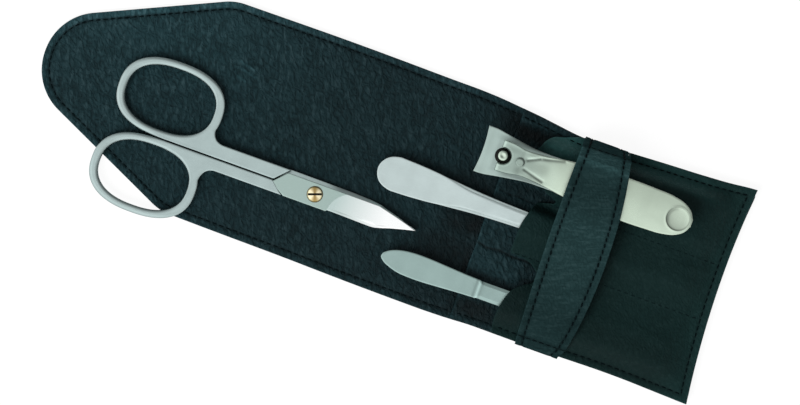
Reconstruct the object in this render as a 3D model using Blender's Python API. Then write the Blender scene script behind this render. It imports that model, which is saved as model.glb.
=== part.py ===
"""Open leather manicure pouch with scissors, tweezers, nail file and nail clipper.

Metres, +Z up. X runs along the case, from the tongue of the flap to the bottom of the
pockets, and Y across it. The origin is on the underside, in the middle of the open case.
"""

import math

import bmesh
import bpy
from mathutils import Vector

# Case, seen from above
POCKET_REACH = 0.0993  # from the origin to the bottom of the pockets
HALF_WIDTH = 0.0310
SHOULDER_X = -0.0550
TONGUE_RADIUS = 0.0155
SHOULDER_RADIUS = 0.0140
TAPER_RUN = 0.0448  # from the shoulder to the end of the tongue
TAPER_FALL = 0.0209
TONGUE_SHIFT = 0.0006  # the tongue lies this far off the middle, towards the clipper
END_SAG = 0.0019  # the pocket end is drawn in at its middle
END_SKEW = 0.0006
END_CORNER_RADIUS = 0.0022
EDGE_STEP = 0.0065
# Edges of the case from the shoulder to the pocket end: share of POCKET_REACH, of HALF_WIDTH
UPPER_EDGE_SHARES = (
    (-0.554, 1.009), (-0.25, 1.016), (-0.08, 1.013), (0.08, 1.006), (0.20, 1.002),
    (0.26, 0.988), (0.33, 0.968), (0.40, 0.943), (0.46, 0.915), (0.53, 0.912),
    (0.65, 0.929), (0.73, 0.942), (0.83, 0.955), (0.91, 0.971), (0.965, 0.990),
    (1.0, 0.998),
)
LOWER_EDGE_SHARES = (
    (-0.554, 0.981), (-0.40, 0.990), (-0.20, 0.998), (0.0, 1.012), (0.20, 1.019),
    (0.28, 1.016), (0.36, 1.004), (0.48, 1.005), (0.58, 1.003), (0.68, 0.997),
    (0.78, 0.993), (0.88, 1.002), (1.0, 1.016),
)

# Layers, from the table up
COVER = 0.0008
BOARD = 0.0005
LINING = 0.0006
INNER_PANEL = 0.0008
FRONT_PANEL = 0.0008
STRAP_FACE = 0.0008
STRAP_LINING = 0.0007
LAYER_GAP = 0.0001
REST_GAP = 0.0003
BOARD_INSET = 0.0035
FOLD_GAP = 0.0003  # between the bend strips and the halves they join

LINING_TOP = COVER + BOARD + LINING + 2 * LAYER_GAP
INNER_TOP = LINING_TOP + LAYER_GAP + INNER_PANEL
PANEL_BASE = INNER_TOP + LAYER_GAP

# Pockets
INNER_PANEL_LENGTH = 0.0691
SEAM_UPPER_Y = 0.0069
SEAM_LOWER_Y = -0.0087
SEAM_FLAT = 0.0007  # half width of the flat strip that a seam holds down
SIDE_SEAM = 0.0024
END_SEAM = 0.0022
SCISSORS_SLOT_HEIGHT = 0.0045
SLOT_FLANK = 0.0035
POCKET_SLOPE = 0.0085  # run in which the front panel comes down to the end seam
THREAD_RADIUS = 0.00022
THREAD_END = 0.0030
# Mouth of the pockets: share of HALF_WIDTH, share of POCKET_REACH
MOUTH_SHARES = (
    (-1.02, 0.429), (-0.93, 0.423), (-0.86, 0.421), (-0.77, 0.423), (-0.70, 0.427),
    (-0.63, 0.434), (-0.57, 0.443), (-0.515, 0.459), (-0.49, 0.478), (-0.45, 0.491),
    (-0.37, 0.495), (-0.31, 0.490), (-0.2935, 0.420), (-0.281, 0.404), (-0.24, 0.402),
    (-0.10, 0.402), (0.0, 0.404), (0.13, 0.415), (0.20, 0.423), (0.2226, 0.428),
    (0.245, 0.445), (0.275, 0.474), (0.30, 0.470), (0.345, 0.430), (0.42, 0.398),
    (0.52, 0.376), (0.63, 0.376), (0.725, 0.388), (0.79, 0.403), (0.83, 0.423),
    (0.85, 0.443), (0.87, 0.470), (0.93, 0.492),
)

# Scissors: ring and blade places are measured from the pivot
PIVOT_X = -0.0162
SCISSORS_Y = -0.0116
SHANK_THICKNESS = 0.0027
BLADE_THICKNESS = 0.0013
BLADE_GAP = 0.0001
RING_BACK = 0.0463
RING_SIDE = 0.0110
RING_LENGTH = 0.0280
RING_BREADTH = 0.0197
RING_WIRE = 0.0021
RING_SQUARENESS = 2.35
RING_STEPS = 36
SHANK_UPPER = 0.0041  # breadth of the shanks, and of the blades to their backs
SHANK_LOWER = 0.0034
EDGE_SIDE = 0.0031  # breadth of the blades on the side of their cutting edges
SHANK_SPLIT = 0.0003  # clear width between the two shanks
SHANK_NOSE = 0.0122
PLATE_NOSE = 0.0119
PLATE_NOSE_TOP = 0.0088
PLATE_BEHIND = 0.0106  # reach of the rear blade behind the pivot, inside the other shank
PLATE_BEHIND_LOW = 0.0087
FRONT_OVERLAP = 0.0030
BLADE_REACH = 0.0296
BLADE_EDGE_BEVEL = 0.0011
BLADE_BACK_BEVEL = 0.0003
SCREW_RADIUS = 0.0010
SCREW_HEAD_RADIUS = 0.0022
SCREW_HEAD = 0.0005
SCREW_SLOT = 0.0005
SCREW_PLAY = 0.00015
# Point end of a blade: share of BLADE_REACH, share of its breadth, negative towards the back
BLADE_TIP_SHARES = (
    (0.60, -0.96), (0.67, -0.84), (0.78, -0.54), (0.90, -0.24), (1.0, -0.04),
    (0.90, 0.28), (0.77, 0.60), (0.68, 0.82), (0.60, 0.96),
)

# Tweezers
TWEEZER_TIP_CLEAR = 0.0135  # from the tips to the bottom of the pocket
TWEEZER_LENGTH = 0.0880
TWEEZER_Y = 0.0012
TWEEZER_WIDTH = 0.0097
TWEEZER_ARM = 0.0009
TWEEZER_TIP_GAP = 0.0014
TWEEZER_RISE = 0.0009  # the heel lies this much higher than the tips
TWEEZER_WELD = 0.0100  # length over which the arms lie on each other
# Half width along the tweezers: share of length, share of TWEEZER_WIDTH
TWEEZER_SHARES = (
    (0.0, 0.10), (0.008, 0.26), (0.022, 0.39), (0.042, 0.47), (0.065, 0.50),
    (0.13, 0.475), (0.21, 0.41), (0.29, 0.345), (0.36, 0.30), (0.49, 0.255),
    (0.72, 0.20), (0.92, 0.16), (1.0, 0.12),
)
TWEEZER_MOUTH_SHARE = 0.27  # half width that the pocket front clears
FRONT_ARM_SHARE = 0.80  # the front arm narrows against the back arm past the handle
FRONT_ARM_START_SHARE = 0.22

# Nail file
FILE_TIP_CLEAR = 0.0126
FILE_LENGTH = 0.0800
FILE_SHIFT = 0.00115  # from the middle of its pocket towards the edge
FILE_WIDTH = 0.0069
FILE_THICKNESS = 0.0014
FILE_BLADE_THICKNESS = 0.0010
FILE_RISE = 0.0016
FILE_SHARES = (
    (0.0, 0.06), (0.008, 0.22), (0.028, 0.35), (0.060, 0.445), (0.105, 0.495),
    (0.15, 0.50), (0.23, 0.45), (0.30, 0.40), (0.352, 0.375),
)
FILE_BLADE_SHARES = (
    (0.357, 0.355), (0.55, 0.35), (0.80, 0.30), (0.93, 0.20), (0.985, 0.10), (1.0, 0.04),
)

# Nail clipper: heights are measured from its underside
CLIPPER_BEFORE_STRAP = 0.0344  # from the jaws to the middle of the strap
CLIPPER_LENGTH = 0.0592
CLIPPER_SHIFT = 0.00310  # from the middle of its pocket towards the tweezers
CLIPPER_WIDTH = 0.0132
LEAF = 0.0011
JAW_LENGTH = 0.0075
JAW_RISE = 0.0031  # height at which the jaws meet
JAW_GAP = 0.0006
JAW_EDGE = 0.0005
JAW_HOLLOW = 0.0005  # the jaws' edge is hollow in plan
LEAF_SPREAD = 0.0039
LEAF_GAP = 0.0001
LEAF_TAIL_FLAT = 0.0090
# Half width of the leaves: share of length, share of CLIPPER_WIDTH
LEAF_SHARES = (
    (0.0, 0.50), (0.04, 0.50), (0.10, 0.455), (0.16, 0.41), (0.24, 0.36), (0.36, 0.35),
    (0.86, 0.35), (0.93, 0.32), (0.97, 0.25), (1.0, 0.10),
)
PIN_FROM_JAW = 0.0063
PIN_RADIUS = 0.0012
PIN_HEAD_RADIUS = 0.0015
PIN_HEAD = 0.0005
PIN_PLAY = 0.0002
RIVET_FROM_TAIL = 0.0050
RIVET_RADIUS = 0.0011
RIVET_HEAD_RADIUS = 0.0018
RIVET_HEAD = 0.0004
LEVER_FROM_JAW = 0.0053
LEVER_LENGTH = 0.0560
LEVER_WIDTH = 0.0118
LEVER_THICKNESS = 0.0010
LEVER_CHAMFER_SHARE = 0.3
LEVER_TAIL_LIFT = 0.0007
LEVER_LIFT_SHARE = 0.7  # the lift begins this far along the lever
LEVER_DISH_RADIUS = 0.0032
LEVER_DISH_DEPTH = 0.0005
LEVER_DISH_FROM_TAIL = 0.0047
LEVER_FORK_RADIUS = 0.0018
LEVER_BUMP_RADIUS = 0.0013
LEVER_BUMP_HEIGHT = 0.0005
LEVER_BUMP_FROM_PIN = 0.0050
# Half width of the lever: share of length, share of LEVER_WIDTH
LEVER_SHARES = (
    (0.0, 0.375), (0.06, 0.36), (0.12, 0.31), (0.20, 0.325), (0.36, 0.425), (0.52, 0.475),
    (0.66, 0.50), (0.78, 0.49), (0.88, 0.46), (0.94, 0.385), (0.98, 0.25), (1.0, 0.08),
)

# Strap: half lengths of its edges about its middle line
STRAP_FROM_END = 0.0423  # from the strap's middle line to the bottom of the pockets
STRAP_HALF = 0.0087
STRAP_LEFT_DRAW = 0.0009  # its left and right edges are drawn in at its ends
STRAP_RIGHT_DRAW = 0.0041
STRAP_SWELL_POWER = 0.6
STRAP_END_SHIFT = 0.0004
STRAP_SLACK = 0.0004
STRAP_CLEAR = 0.0006
STRAP_STEPS = 30
STRAP_OVERHANG = 0.0003
STRAP_CROWN = 0.0002
STRAP_SIDE_CLEAR = 0.0013  # between the lever's sides and the ends of the strap's crown
# Path of the strap from the lower edge to its crown, and on to the upper edge: share of that
# run, share of the clipper's height over the seams
STRAP_LONG_SHARES = (
    (0.0, 0.0), (0.058, 0.0), (0.108, 0.16), (0.192, 0.30), (0.315, 0.37), (0.546, 0.46),
    (0.777, 0.60), (0.885, 0.76), (0.962, 0.955), (1.0, 1.0),
)
STRAP_SHORT_SHARES = (
    (0.0, 1.0), (0.237, 0.88), (0.421, 0.62), (0.579, 0.28), (0.711, 0.05), (0.816, 0.0),
    (1.0, 0.0),
)

BAR_CHAMFER_SHARE = 0.2
CUT_OVERRUN = 0.0010
ROUND_STEPS = 20

STRAP_X = POCKET_REACH - STRAP_FROM_END
INNER_PANEL_X = POCKET_REACH - INNER_PANEL_LENGTH
TWEEZER_HEEL_X = POCKET_REACH - TWEEZER_TIP_CLEAR - TWEEZER_LENGTH
FILE_X = POCKET_REACH - FILE_TIP_CLEAR - FILE_LENGTH
FILE_Y = (SEAM_LOWER_Y - HALF_WIDTH) / 2 - FILE_SHIFT
CLIPPER_X = STRAP_X - CLIPPER_BEFORE_STRAP
CLIPPER_Y = (SEAM_UPPER_Y + HALF_WIDTH) / 2 - CLIPPER_SHIFT
PIN_X = CLIPPER_X + PIN_FROM_JAW
LEVER_X = CLIPPER_X + LEVER_FROM_JAW

CLIPPER_BASE = PANEL_BASE + SCISSORS_SLOT_HEIGHT + FRONT_PANEL + REST_GAP
LEVER_BASE = CLIPPER_BASE + LEAF + LEAF_GAP + LEAF_SPREAD + LEAF + REST_GAP
LEVER_TOP = LEVER_BASE + LEVER_THICKNESS
STRAP_BASE = PANEL_BASE + FRONT_PANEL + LAYER_GAP
STRAP_RISE = LEVER_TOP + LEVER_TAIL_LIFT + STRAP_SLACK - STRAP_BASE
STRAP_TOP = STRAP_BASE + STRAP_RISE + STRAP_LINING + LAYER_GAP + STRAP_FACE

# The flap turns about an axis above the middle of the bend, so that it closes level
# over the strap, and the bend is as long as the half circle that it then makes.
CLOSED_PLAY = 0.0010
FOLD_RISE = (STRAP_TOP + CLOSED_PLAY + LINING_TOP) / 2
FOLD_LENGTH = math.pi * FOLD_RISE
FOLD_RIGHT_X = -0.0080
FOLD_LEFT_X = FOLD_RIGHT_X - FOLD_LENGTH


def make_material(name, colour, roughness, metallic):
    material = bpy.data.materials.new(name)
    material.use_nodes = True
    shader = material.node_tree.nodes["Principled BSDF"]
    shader.inputs["Base Color"].default_value = (*colour, 1)
    shader.inputs["Roughness"].default_value = roughness
    shader.inputs["Metallic"].default_value = metallic
    return material


def make_object(name, points, faces, material):
    """A closed mesh, its faces turned outwards."""
    mesh = bpy.data.meshes.new(name)
    mesh.from_pydata([tuple(point) for point in points], [], faces)
    bm = bmesh.new()
    bm.from_mesh(mesh)
    bmesh.ops.recalc_face_normals(bm, faces=bm.faces)
    bm.to_mesh(mesh)
    bm.free()
    obj = bpy.data.objects.new(name, mesh)
    bpy.context.scene.collection.objects.link(obj)
    if material:
        mesh.materials.append(material)
    return obj


def smooth(share):
    share = min(max(share, 0), 1)
    return share * share * (3 - 2 * share)


def along(table, place):
    """The table's value at a place, curved smoothly through its points."""
    if place <= table[0][0]:
        return table[0][1]
    if place >= table[-1][0]:
        return table[-1][1]
    right = next(i for i, row in enumerate(table) if row[0] > place)
    rows = [table[min(max(right + step, 0), len(table) - 1)] for step in (-2, -1, 0, 1)]
    (x0, y0), (x1, y1), (x2, y2), (x3, y3) = rows
    start = (y2 - y0) / (x2 - x0)
    end = (y3 - y1) / (x3 - x1)
    run = x2 - x1
    t = (place - x1) / run
    return (
        (2 * t**3 - 3 * t**2 + 1) * y1 + (t**3 - 2 * t**2 + t) * run * start
        + (3 * t**2 - 2 * t**3) * y2 + (t**3 - t**2) * run * end
    )


def spread(low, high, count):
    return [low + (high - low) * i / count for i in range(count + 1)]


def rounded(corners, steps=6):
    """An outline through (x, y, radius) corners, each one rounded to its radius."""
    outline = []
    for i, (x, y, radius) in enumerate(corners):
        here = Vector((x, y))
        back = Vector(corners[i - 1][:2]) - here
        ahead = Vector(corners[(i + 1) % len(corners)][:2]) - here
        if radius == 0:
            outline.append((x, y))
            continue
        turn = math.pi - back.angle(ahead)
        reach = radius * math.tan(turn / 2)
        middle = (back.normalized() + ahead.normalized()).normalized()
        centre = here + middle * math.hypot(radius, reach)
        start = here + back.normalized() * reach - centre
        side = -1 if back.cross(ahead) > 0 else 1
        for k in range(steps + 1):
            angle = side * turn * k / steps
            outline.append((
                centre.x + start.x * math.cos(angle) - start.y * math.sin(angle),
                centre.y + start.x * math.sin(angle) + start.y * math.cos(angle),
            ))
    return outline


def prism(name, outline, low, high, material=None, top=None):
    """A flat plate between two heights. A second outline for the top slopes its sides."""
    count = len(outline)
    points = [(x, y, low) for x, y in outline] + [(x, y, high) for x, y in top or outline]
    faces = [tuple(range(count)), tuple(range(count, 2 * count))]
    for i in range(count):
        j = (i + 1) % count
        faces.append((i, j, count + j, count + i))
    return make_object(name, points, faces, material)


def loft(name, rings, material=None, closed=False):
    """A skin through rings of as many points each, its ends filled or joined."""
    count = len(rings[0])
    points = [point for ring in rings for point in ring]
    faces = []
    last = len(rings) if closed else len(rings) - 1
    for i in range(last):
        here, there = i * count, (i + 1) % len(rings) * count
        for j in range(count):
            k = (j + 1) % count
            faces.append((here + j, here + k, there + k, there + j))
    if not closed:
        faces.append(tuple(range(count)))
        faces.append(tuple(range(len(points) - count, len(points))))
    return make_object(name, points, faces, material)


def sheet(name, lower, upper, material):
    """A closed sheet between two grids of points."""
    rows, columns = len(lower), len(lower[0])
    points = [p for row in lower for p in row] + [p for row in upper for p in row]
    base = rows * columns
    faces = []
    for i in range(rows - 1):
        for j in range(columns - 1):
            here, there = i * columns + j, (i + 1) * columns + j
            quad = (here, there, there + 1, here + 1)
            faces.append(quad)
            faces.append(tuple(base + k for k in quad))
    rim = [(0, j) for j in range(columns)] + [(i, columns - 1) for i in range(1, rows)]
    rim += [(rows - 1, j) for j in range(columns - 2, -1, -1)]
    rim += [(i, 0) for i in range(rows - 2, 0, -1)]
    rim = [i * columns + j for i, j in rim]
    for here, there in zip(rim, rim[1:] + rim[:1]):
        faces.append((here, there, base + there, base + here))
    return make_object(name, points, faces, material)


def cylinder(name, x, y, radius, low, high, material=None):
    turns = [2 * math.pi * i / ROUND_STEPS for i in range(ROUND_STEPS)]
    outline = [(x + radius * math.cos(turn), y + radius * math.sin(turn)) for turn in turns]
    return prism(name, outline, low, high, material)


def combine(obj, other, operation):
    """A Boolean of two objects, kept on the first. The second becomes a helper."""
    modifier = obj.modifiers.new(other.name, "BOOLEAN")
    modifier.operation = operation
    modifier.object = other
    other.hide_render = True
    other.display_type = "WIRE"


def edge_y(x, side):
    """The case's upper edge (side 1) or lower edge (side -1)."""
    table = UPPER_EDGE_SHARES if side > 0 else LOWER_EDGE_SHARES
    return side * HALF_WIDTH * along(table, x / POCKET_REACH)


def end_x(y):
    """The pocket end, drawn in at its middle and a little out of square."""
    share = y / HALF_WIDTH
    return POCKET_REACH - END_SAG * (1 - share**2) - END_SKEW * share


def back_outline(start, inset):
    """The pocket half from a straight cut to the pocket end."""
    count = math.ceil((POCKET_REACH - start) / EDGE_STEP)
    corner = POCKET_REACH - inset
    lower = [(x, edge_y(x, -1) + inset, 0) for x in spread(start, corner - EDGE_STEP / 2, count)]
    upper = [(x, edge_y(x, 1) - inset, 0) for x in spread(start, corner - EDGE_STEP / 2, count)]
    low, high = edge_y(corner, -1) + inset, edge_y(corner, 1) - inset
    end = [(end_x(y) - inset, y, 0) for y in spread(low, high, 8)]
    end[0] = (*end[0][:2], END_CORNER_RADIUS)
    end[-1] = (*end[-1][:2], END_CORNER_RADIUS)
    return rounded(lower + end + upper[::-1], steps=3)


def flap_outline(end, inset):
    """The flap from its round tongue to a straight cut."""
    count = math.ceil((end - SHOULDER_X) / EDGE_STEP)
    tip = HALF_WIDTH - TAPER_FALL - inset
    stations = spread(SHOULDER_X + EDGE_STEP, end, count)
    lower = [(x, edge_y(x, -1) + inset, 0) for x in stations]
    upper = [(x, edge_y(x, 1) - inset, 0) for x in stations]
    left = SHOULDER_X - TAPER_RUN + inset
    taper = math.atan2(TAPER_FALL, TAPER_RUN)
    tongue = min(TONGUE_RADIUS, (tip - LAYER_GAP) / math.tan(math.pi / 4 - taper / 2))
    corners = [
        (SHOULDER_X, edge_y(SHOULDER_X, 1) - inset, SHOULDER_RADIUS),
        (left, TONGUE_SHIFT + tip, tongue),
        (left, TONGUE_SHIFT - tip, tongue),
        (SHOULDER_X, edge_y(SHOULDER_X, -1) + inset, SHOULDER_RADIUS),
    ]
    return rounded(upper[::-1] + corners + lower, steps=7)


def fold_outline():
    stations = spread(FOLD_LEFT_X + FOLD_GAP, FOLD_RIGHT_X - FOLD_GAP, 4)
    lower = [(x, edge_y(x, -1)) for x in stations]
    upper = [(x, edge_y(x, 1)) for x in stations]
    return lower + upper[::-1]


def make_case_layers(leather, suede, board):
    back, flap = back_outline(FOLD_RIGHT_X, 0), flap_outline(FOLD_LEFT_X, 0)
    back_board = back_outline(FOLD_RIGHT_X + BOARD_INSET, BOARD_INSET)
    flap_board = flap_outline(FOLD_LEFT_X - BOARD_INSET, BOARD_INSET)
    board_low = COVER + LAYER_GAP
    lining_low = board_low + BOARD + LAYER_GAP
    prism("back_cover", back, 0, COVER, leather)
    prism("flap_cover", flap, 0, COVER, leather)
    prism("fold_cover", fold_outline(), 0, COVER, leather)
    prism("back_board", back_board, board_low, board_low + BOARD, board)
    prism("flap_board", flap_board, board_low, board_low + BOARD, board)
    prism("back_lining", back, lining_low, LINING_TOP, suede)
    prism("flap_lining", flap, lining_low, LINING_TOP, suede)
    prism("fold_lining", fold_outline(), lining_low, LINING_TOP, suede)
    panel = back_outline(INNER_PANEL_X, 0)
    prism("inner_panel", panel, LINING_TOP + LAYER_GAP, INNER_TOP, leather)


def tweezer_top(share):
    """Top of the tweezers over their length."""
    opening = TWEEZER_TIP_GAP * parted_share(share)
    return tweezer_base(share) + 2 * TWEEZER_ARM + LAYER_GAP + opening


def parted_share(share):
    """The arms lie on each other at the heel and part evenly from there to the tips."""
    weld = TWEEZER_WELD / TWEEZER_LENGTH
    return max(share - weld, 0) / (1 - weld)


def tweezer_base(share):
    return INNER_TOP + REST_GAP + TWEEZER_RISE * (1 - share)


def slot_list():
    """Each pocket: its two seams, the flat part of its front and how far that rises."""
    tweezers = TWEEZER_WIDTH * TWEEZER_MOUTH_SHARE + REST_GAP
    file = FILE_WIDTH * FILE_SHARES[-1][1] + 2 * REST_GAP
    tweezer_rise = tweezer_top(1) + REST_GAP - PANEL_BASE
    file_rise = INNER_TOP + REST_GAP + FILE_RISE + FILE_THICKNESS - PANEL_BASE
    lowest, highest = edge_y(STRAP_X, -1) + SIDE_SEAM, edge_y(STRAP_X, 1) - SIDE_SEAM
    below, above = SEAM_LOWER_Y - SEAM_FLAT, SEAM_UPPER_Y + SEAM_FLAT
    start, end = SEAM_LOWER_Y + SEAM_FLAT, SEAM_UPPER_Y - SEAM_FLAT
    return (
        (lowest, below, FILE_Y - file, FILE_Y + file, file_rise),
        (start, end, TWEEZER_Y - tweezers, TWEEZER_Y + tweezers, tweezer_rise),
        (above, highest, SEAM_UPPER_Y + SLOT_FLANK, highest - SLOT_FLANK, SCISSORS_SLOT_HEIGHT),
    )


def front_rise(y):
    """How far the front panel stands off its seams at y, under the strap."""
    for start, end, flat_start, flat_end, rise in slot_list():
        if start < y < end:
            up, down = (y - start) / (flat_start - start), (end - y) / (end - flat_end)
            return rise * smooth(min(up, down))
    return 0


def panel_columns():
    """Places across the front panel, as (share between the edges at the strap, rise)."""
    low, high = edge_y(STRAP_X, -1), edge_y(STRAP_X, 1)
    places = [low, SEAM_LOWER_Y, SEAM_UPPER_Y]
    for start, end, flat_start, flat_end, _ in slot_list():
        places += spread(start, flat_start, 4)
        places += spread(flat_start, flat_end, 3)[1:-1]
        places += spread(flat_end, end, 4)
    places.append(high)
    return [((y - low) / (high - low), front_rise(y)) for y in sorted(places)]


def make_front_panel(leather):
    lower, upper = [], []
    for across, rise in panel_columns():
        y_strap = edge_y(STRAP_X, -1) + across * (edge_y(STRAP_X, 1) - edge_y(STRAP_X, -1))
        mouth = POCKET_REACH * along(MOUTH_SHARES, y_strap / HALF_WIDTH)
        end = end_x(y_strap)
        slope_end, slope_start = end - END_SEAM, end - END_SEAM - POCKET_SLOPE
        stations = spread(mouth, slope_start, 6) + spread(slope_start, slope_end, 4)[1:] + [end]
        row = []
        for x in stations:
            low, high = edge_y(x, -1), edge_y(x, 1)
            height = rise * smooth((slope_end - x) / (slope_end - slope_start))
            row.append((x, low + across * (high - low), PANEL_BASE + height))
        lower.append(row)
        upper.append([(x, y, z + FRONT_PANEL) for x, y, z in row])
    sheet("front_panel", lower, upper, leather)


def make_seam_threads(thread):
    for name, y in (("slot_seam_upper", SEAM_UPPER_Y), ("slot_seam_lower", SEAM_LOWER_Y)):
        start = POCKET_REACH * along(MOUTH_SHARES, y / HALF_WIDTH) + SEAM_FLAT
        end = end_x(y) - THREAD_END
        z = PANEL_BASE + FRONT_PANEL + LAYER_GAP + THREAD_RADIUS
        rings = []
        for x in (start, end):
            low, high = edge_y(x, -1), edge_y(x, 1)
            strap_low, strap_high = edge_y(STRAP_X, -1), edge_y(STRAP_X, 1)
            middle = low + (y - strap_low) / (strap_high - strap_low) * (high - low)
            rings.append([
                (x, middle + THREAD_RADIUS * math.cos(a), z + THREAD_RADIUS * math.sin(a))
                for a in (k * math.pi / 3 for k in range(6))
            ])
        loft(name, rings, thread)


def strap_ends():
    return edge_y(STRAP_X, -1) - STRAP_OVERHANG, edge_y(STRAP_X, 1) + STRAP_OVERHANG


def strap_rise(y):
    """Height of the strap's path, which never cuts through the pocket front below it."""
    first, last = strap_ends()
    crown_start = CLIPPER_Y - LEVER_WIDTH / 2 - STRAP_SIDE_CLEAR
    crown_end = CLIPPER_Y + LEVER_WIDTH / 2 + STRAP_SIDE_CLEAR
    if y < crown_start:
        path = STRAP_RISE * along(STRAP_LONG_SHARES, (y - first) / (crown_start - first))
    elif y > crown_end:
        path = STRAP_RISE * along(STRAP_SHORT_SHARES, (y - crown_end) / (last - crown_end))
    else:
        middle = (y - CLIPPER_Y) / (crown_end - CLIPPER_Y)
        path = STRAP_RISE + STRAP_CROWN * (1 - middle**2)
    beneath = max(front_rise(y + side * STRAP_CLEAR) for side in (-1, 0, 1))
    return max(path, beneath + REST_GAP if beneath else 0)


def strap_point(share, offset):
    """A point of the strap's middle line, offset square to it, as (y, z)."""
    first, last = strap_ends()
    y = first + (last - first) * share
    step = (last - first) / STRAP_STEPS / 4
    rise = strap_rise(y + step) - strap_rise(y - step)
    length = math.hypot(2 * step, rise)
    return y - offset * rise / length, STRAP_BASE + strap_rise(y) + offset * 2 * step / length


def strap_edges(share):
    """The strap's left and right edge at a share of its path: it is widest in the middle."""
    drawn = 1 - math.sin(math.pi * share) ** STRAP_SWELL_POWER
    middle = STRAP_X + STRAP_END_SHIFT * math.cos(math.pi * share)
    left = middle - STRAP_HALF + STRAP_LEFT_DRAW * drawn
    return left, middle + STRAP_HALF - STRAP_RIGHT_DRAW * drawn


def make_strap(leather, suede):
    layers = (
        ("strap_lining", 0, STRAP_LINING, suede),
        ("strap_face", STRAP_LINING + LAYER_GAP, STRAP_LINING + LAYER_GAP + STRAP_FACE, leather),
    )
    for name, low, high, material in layers:
        grids = []
        for offset in (low, high):
            grid = []
            for share in spread(0, 1, STRAP_STEPS):
                left, right = strap_edges(share)
                y, z = strap_point(share, offset)
                grid.append([(x, y, z) for x in spread(left, right, 2)])
            grids.append(grid)
        sheet(name, grids[0], grids[1], material)


def ring_point(angle, offset):
    """A point of a finger ring's rounded outline, offset outwards."""
    cos, sin = math.cos(angle), math.sin(angle)
    power = 2 / RING_SQUARENESS
    x = (RING_LENGTH / 2 + offset) * math.copysign(abs(cos) ** power, cos)
    y = (RING_BREADTH / 2 + offset) * math.copysign(abs(sin) ** power, sin)
    return x, y


def scissors_z():
    low = LINING_TOP + REST_GAP
    return low, low + SHANK_THICKNESS


def make_ring(name, side, material):
    """The wire of a finger ring, on the upper side (1) or the lower side (-1)."""
    low, high = scissors_z()
    middle, radius = (low + high) / 2, RING_WIRE / 2
    rings = []
    for i in range(RING_STEPS):
        angle = 2 * math.pi * i / RING_STEPS
        ring = []
        for k in range(8):
            turn = math.pi / 8 + k * math.pi / 4
            x, y = ring_point(angle, radius * math.cos(turn))
            ring.append((
                PIVOT_X - RING_BACK + x,
                SCISSORS_Y + side * RING_SIDE + y,
                middle + radius * math.sin(turn),
            ))
        rings.append(ring)
    return loft(name, rings, material, closed=True)


def shank_outline(side):
    """The shank from its ring to the pivot, measured from the pivot."""
    low, breadth = SHANK_SPLIT / 2, SHANK_UPPER if side > 0 else SHANK_LOWER
    corner = (-RING_BACK + RING_LENGTH / 2 + RING_WIRE / 2, RING_SIDE)
    inner = []
    for degrees in (-90, -72, -54, -36, -18):
        x, y = ring_point(math.radians(degrees), 0)
        inner.append((-RING_BACK + x, RING_SIDE + y, 0))
    nose_run = (PLATE_NOSE - PLATE_NOSE_TOP) * (SHANK_UPPER - low) / (EDGE_SIDE + low)
    corners = [
        *inner[::-1],
        (inner[0][0], low, 0),
        (-SHANK_NOSE, low, 0),
        (nose_run - SHANK_NOSE if side > 0 else -SHANK_NOSE, breadth, 0),
        (corner[0] + breadth / 2, breadth, breadth / 2),
        (corner[0], corner[1] - breadth / 2, 0),
    ]
    outline = rounded(corners, steps=4)
    return [(PIVOT_X + x, SCISSORS_Y + side * y) for x, y in outline]


def inset_outline(outline, depths):
    """The outline moved inwards, each corner by the depths of its two sides."""
    moved = []
    for i, point in enumerate(outline):
        here = Vector(point)
        back = here - Vector(outline[i - 1])
        ahead = Vector(outline[(i + 1) % len(outline)]) - here
        first = Vector((-back.y, back.x)).normalized()
        second = Vector((-ahead.y, ahead.x)).normalized()
        depth = (depths[i - 1] + depths[i]) / 2
        middle = (first + second).normalized()
        moved.append(tuple(here + middle * depth / max(middle.dot(first), 0.5)))
    return moved


def blade_plate(name, side, front, material):
    """A blade with its boss, from behind the pivot to the point."""
    low, high = scissors_z()
    if front:
        low, high = low + BLADE_THICKNESS + BLADE_GAP, high - LAYER_GAP / 2
        behind = SHANK_NOSE + FRONT_OVERLAP
        heel = [
            (-PLATE_NOSE_TOP, EDGE_SIDE), (-PLATE_NOSE, -SHANK_SPLIT / 2),
            (-behind, -SHANK_SPLIT / 2), (-behind, -SHANK_LOWER),
        ]
    else:
        low, high = low + LAYER_GAP / 2, low + BLADE_THICKNESS
        heel = [
            (-PLATE_NOSE_TOP, SHANK_UPPER), (-SHANK_NOSE - FRONT_OVERLAP, SHANK_UPPER),
            (-SHANK_NOSE - FRONT_OVERLAP, SHANK_SPLIT), (-PLATE_BEHIND, SHANK_SPLIT),
            (-PLATE_BEHIND_LOW, -EDGE_SIDE),
        ]
    back = SHANK_LOWER if front else SHANK_UPPER
    tip = [(BLADE_REACH * x, -side * y * (back if y < 0 else EDGE_SIDE)) for x, y in BLADE_TIP_SHARES]
    outline = heel + tip[::-side]
    outline = [(PIVOT_X + x, SCISSORS_Y + y) for x, y in outline]
    depths = [BLADE_BACK_BEVEL] * len(outline)
    if front:
        for i in range(len(outline) - 4, len(outline)):
            depths[i] = BLADE_EDGE_BEVEL / 2
        depths[-1] = BLADE_EDGE_BEVEL
        return prism(name, outline, low, high, material, top=inset_outline(outline, depths))
    return prism(name, outline, low, high, material)


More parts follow.
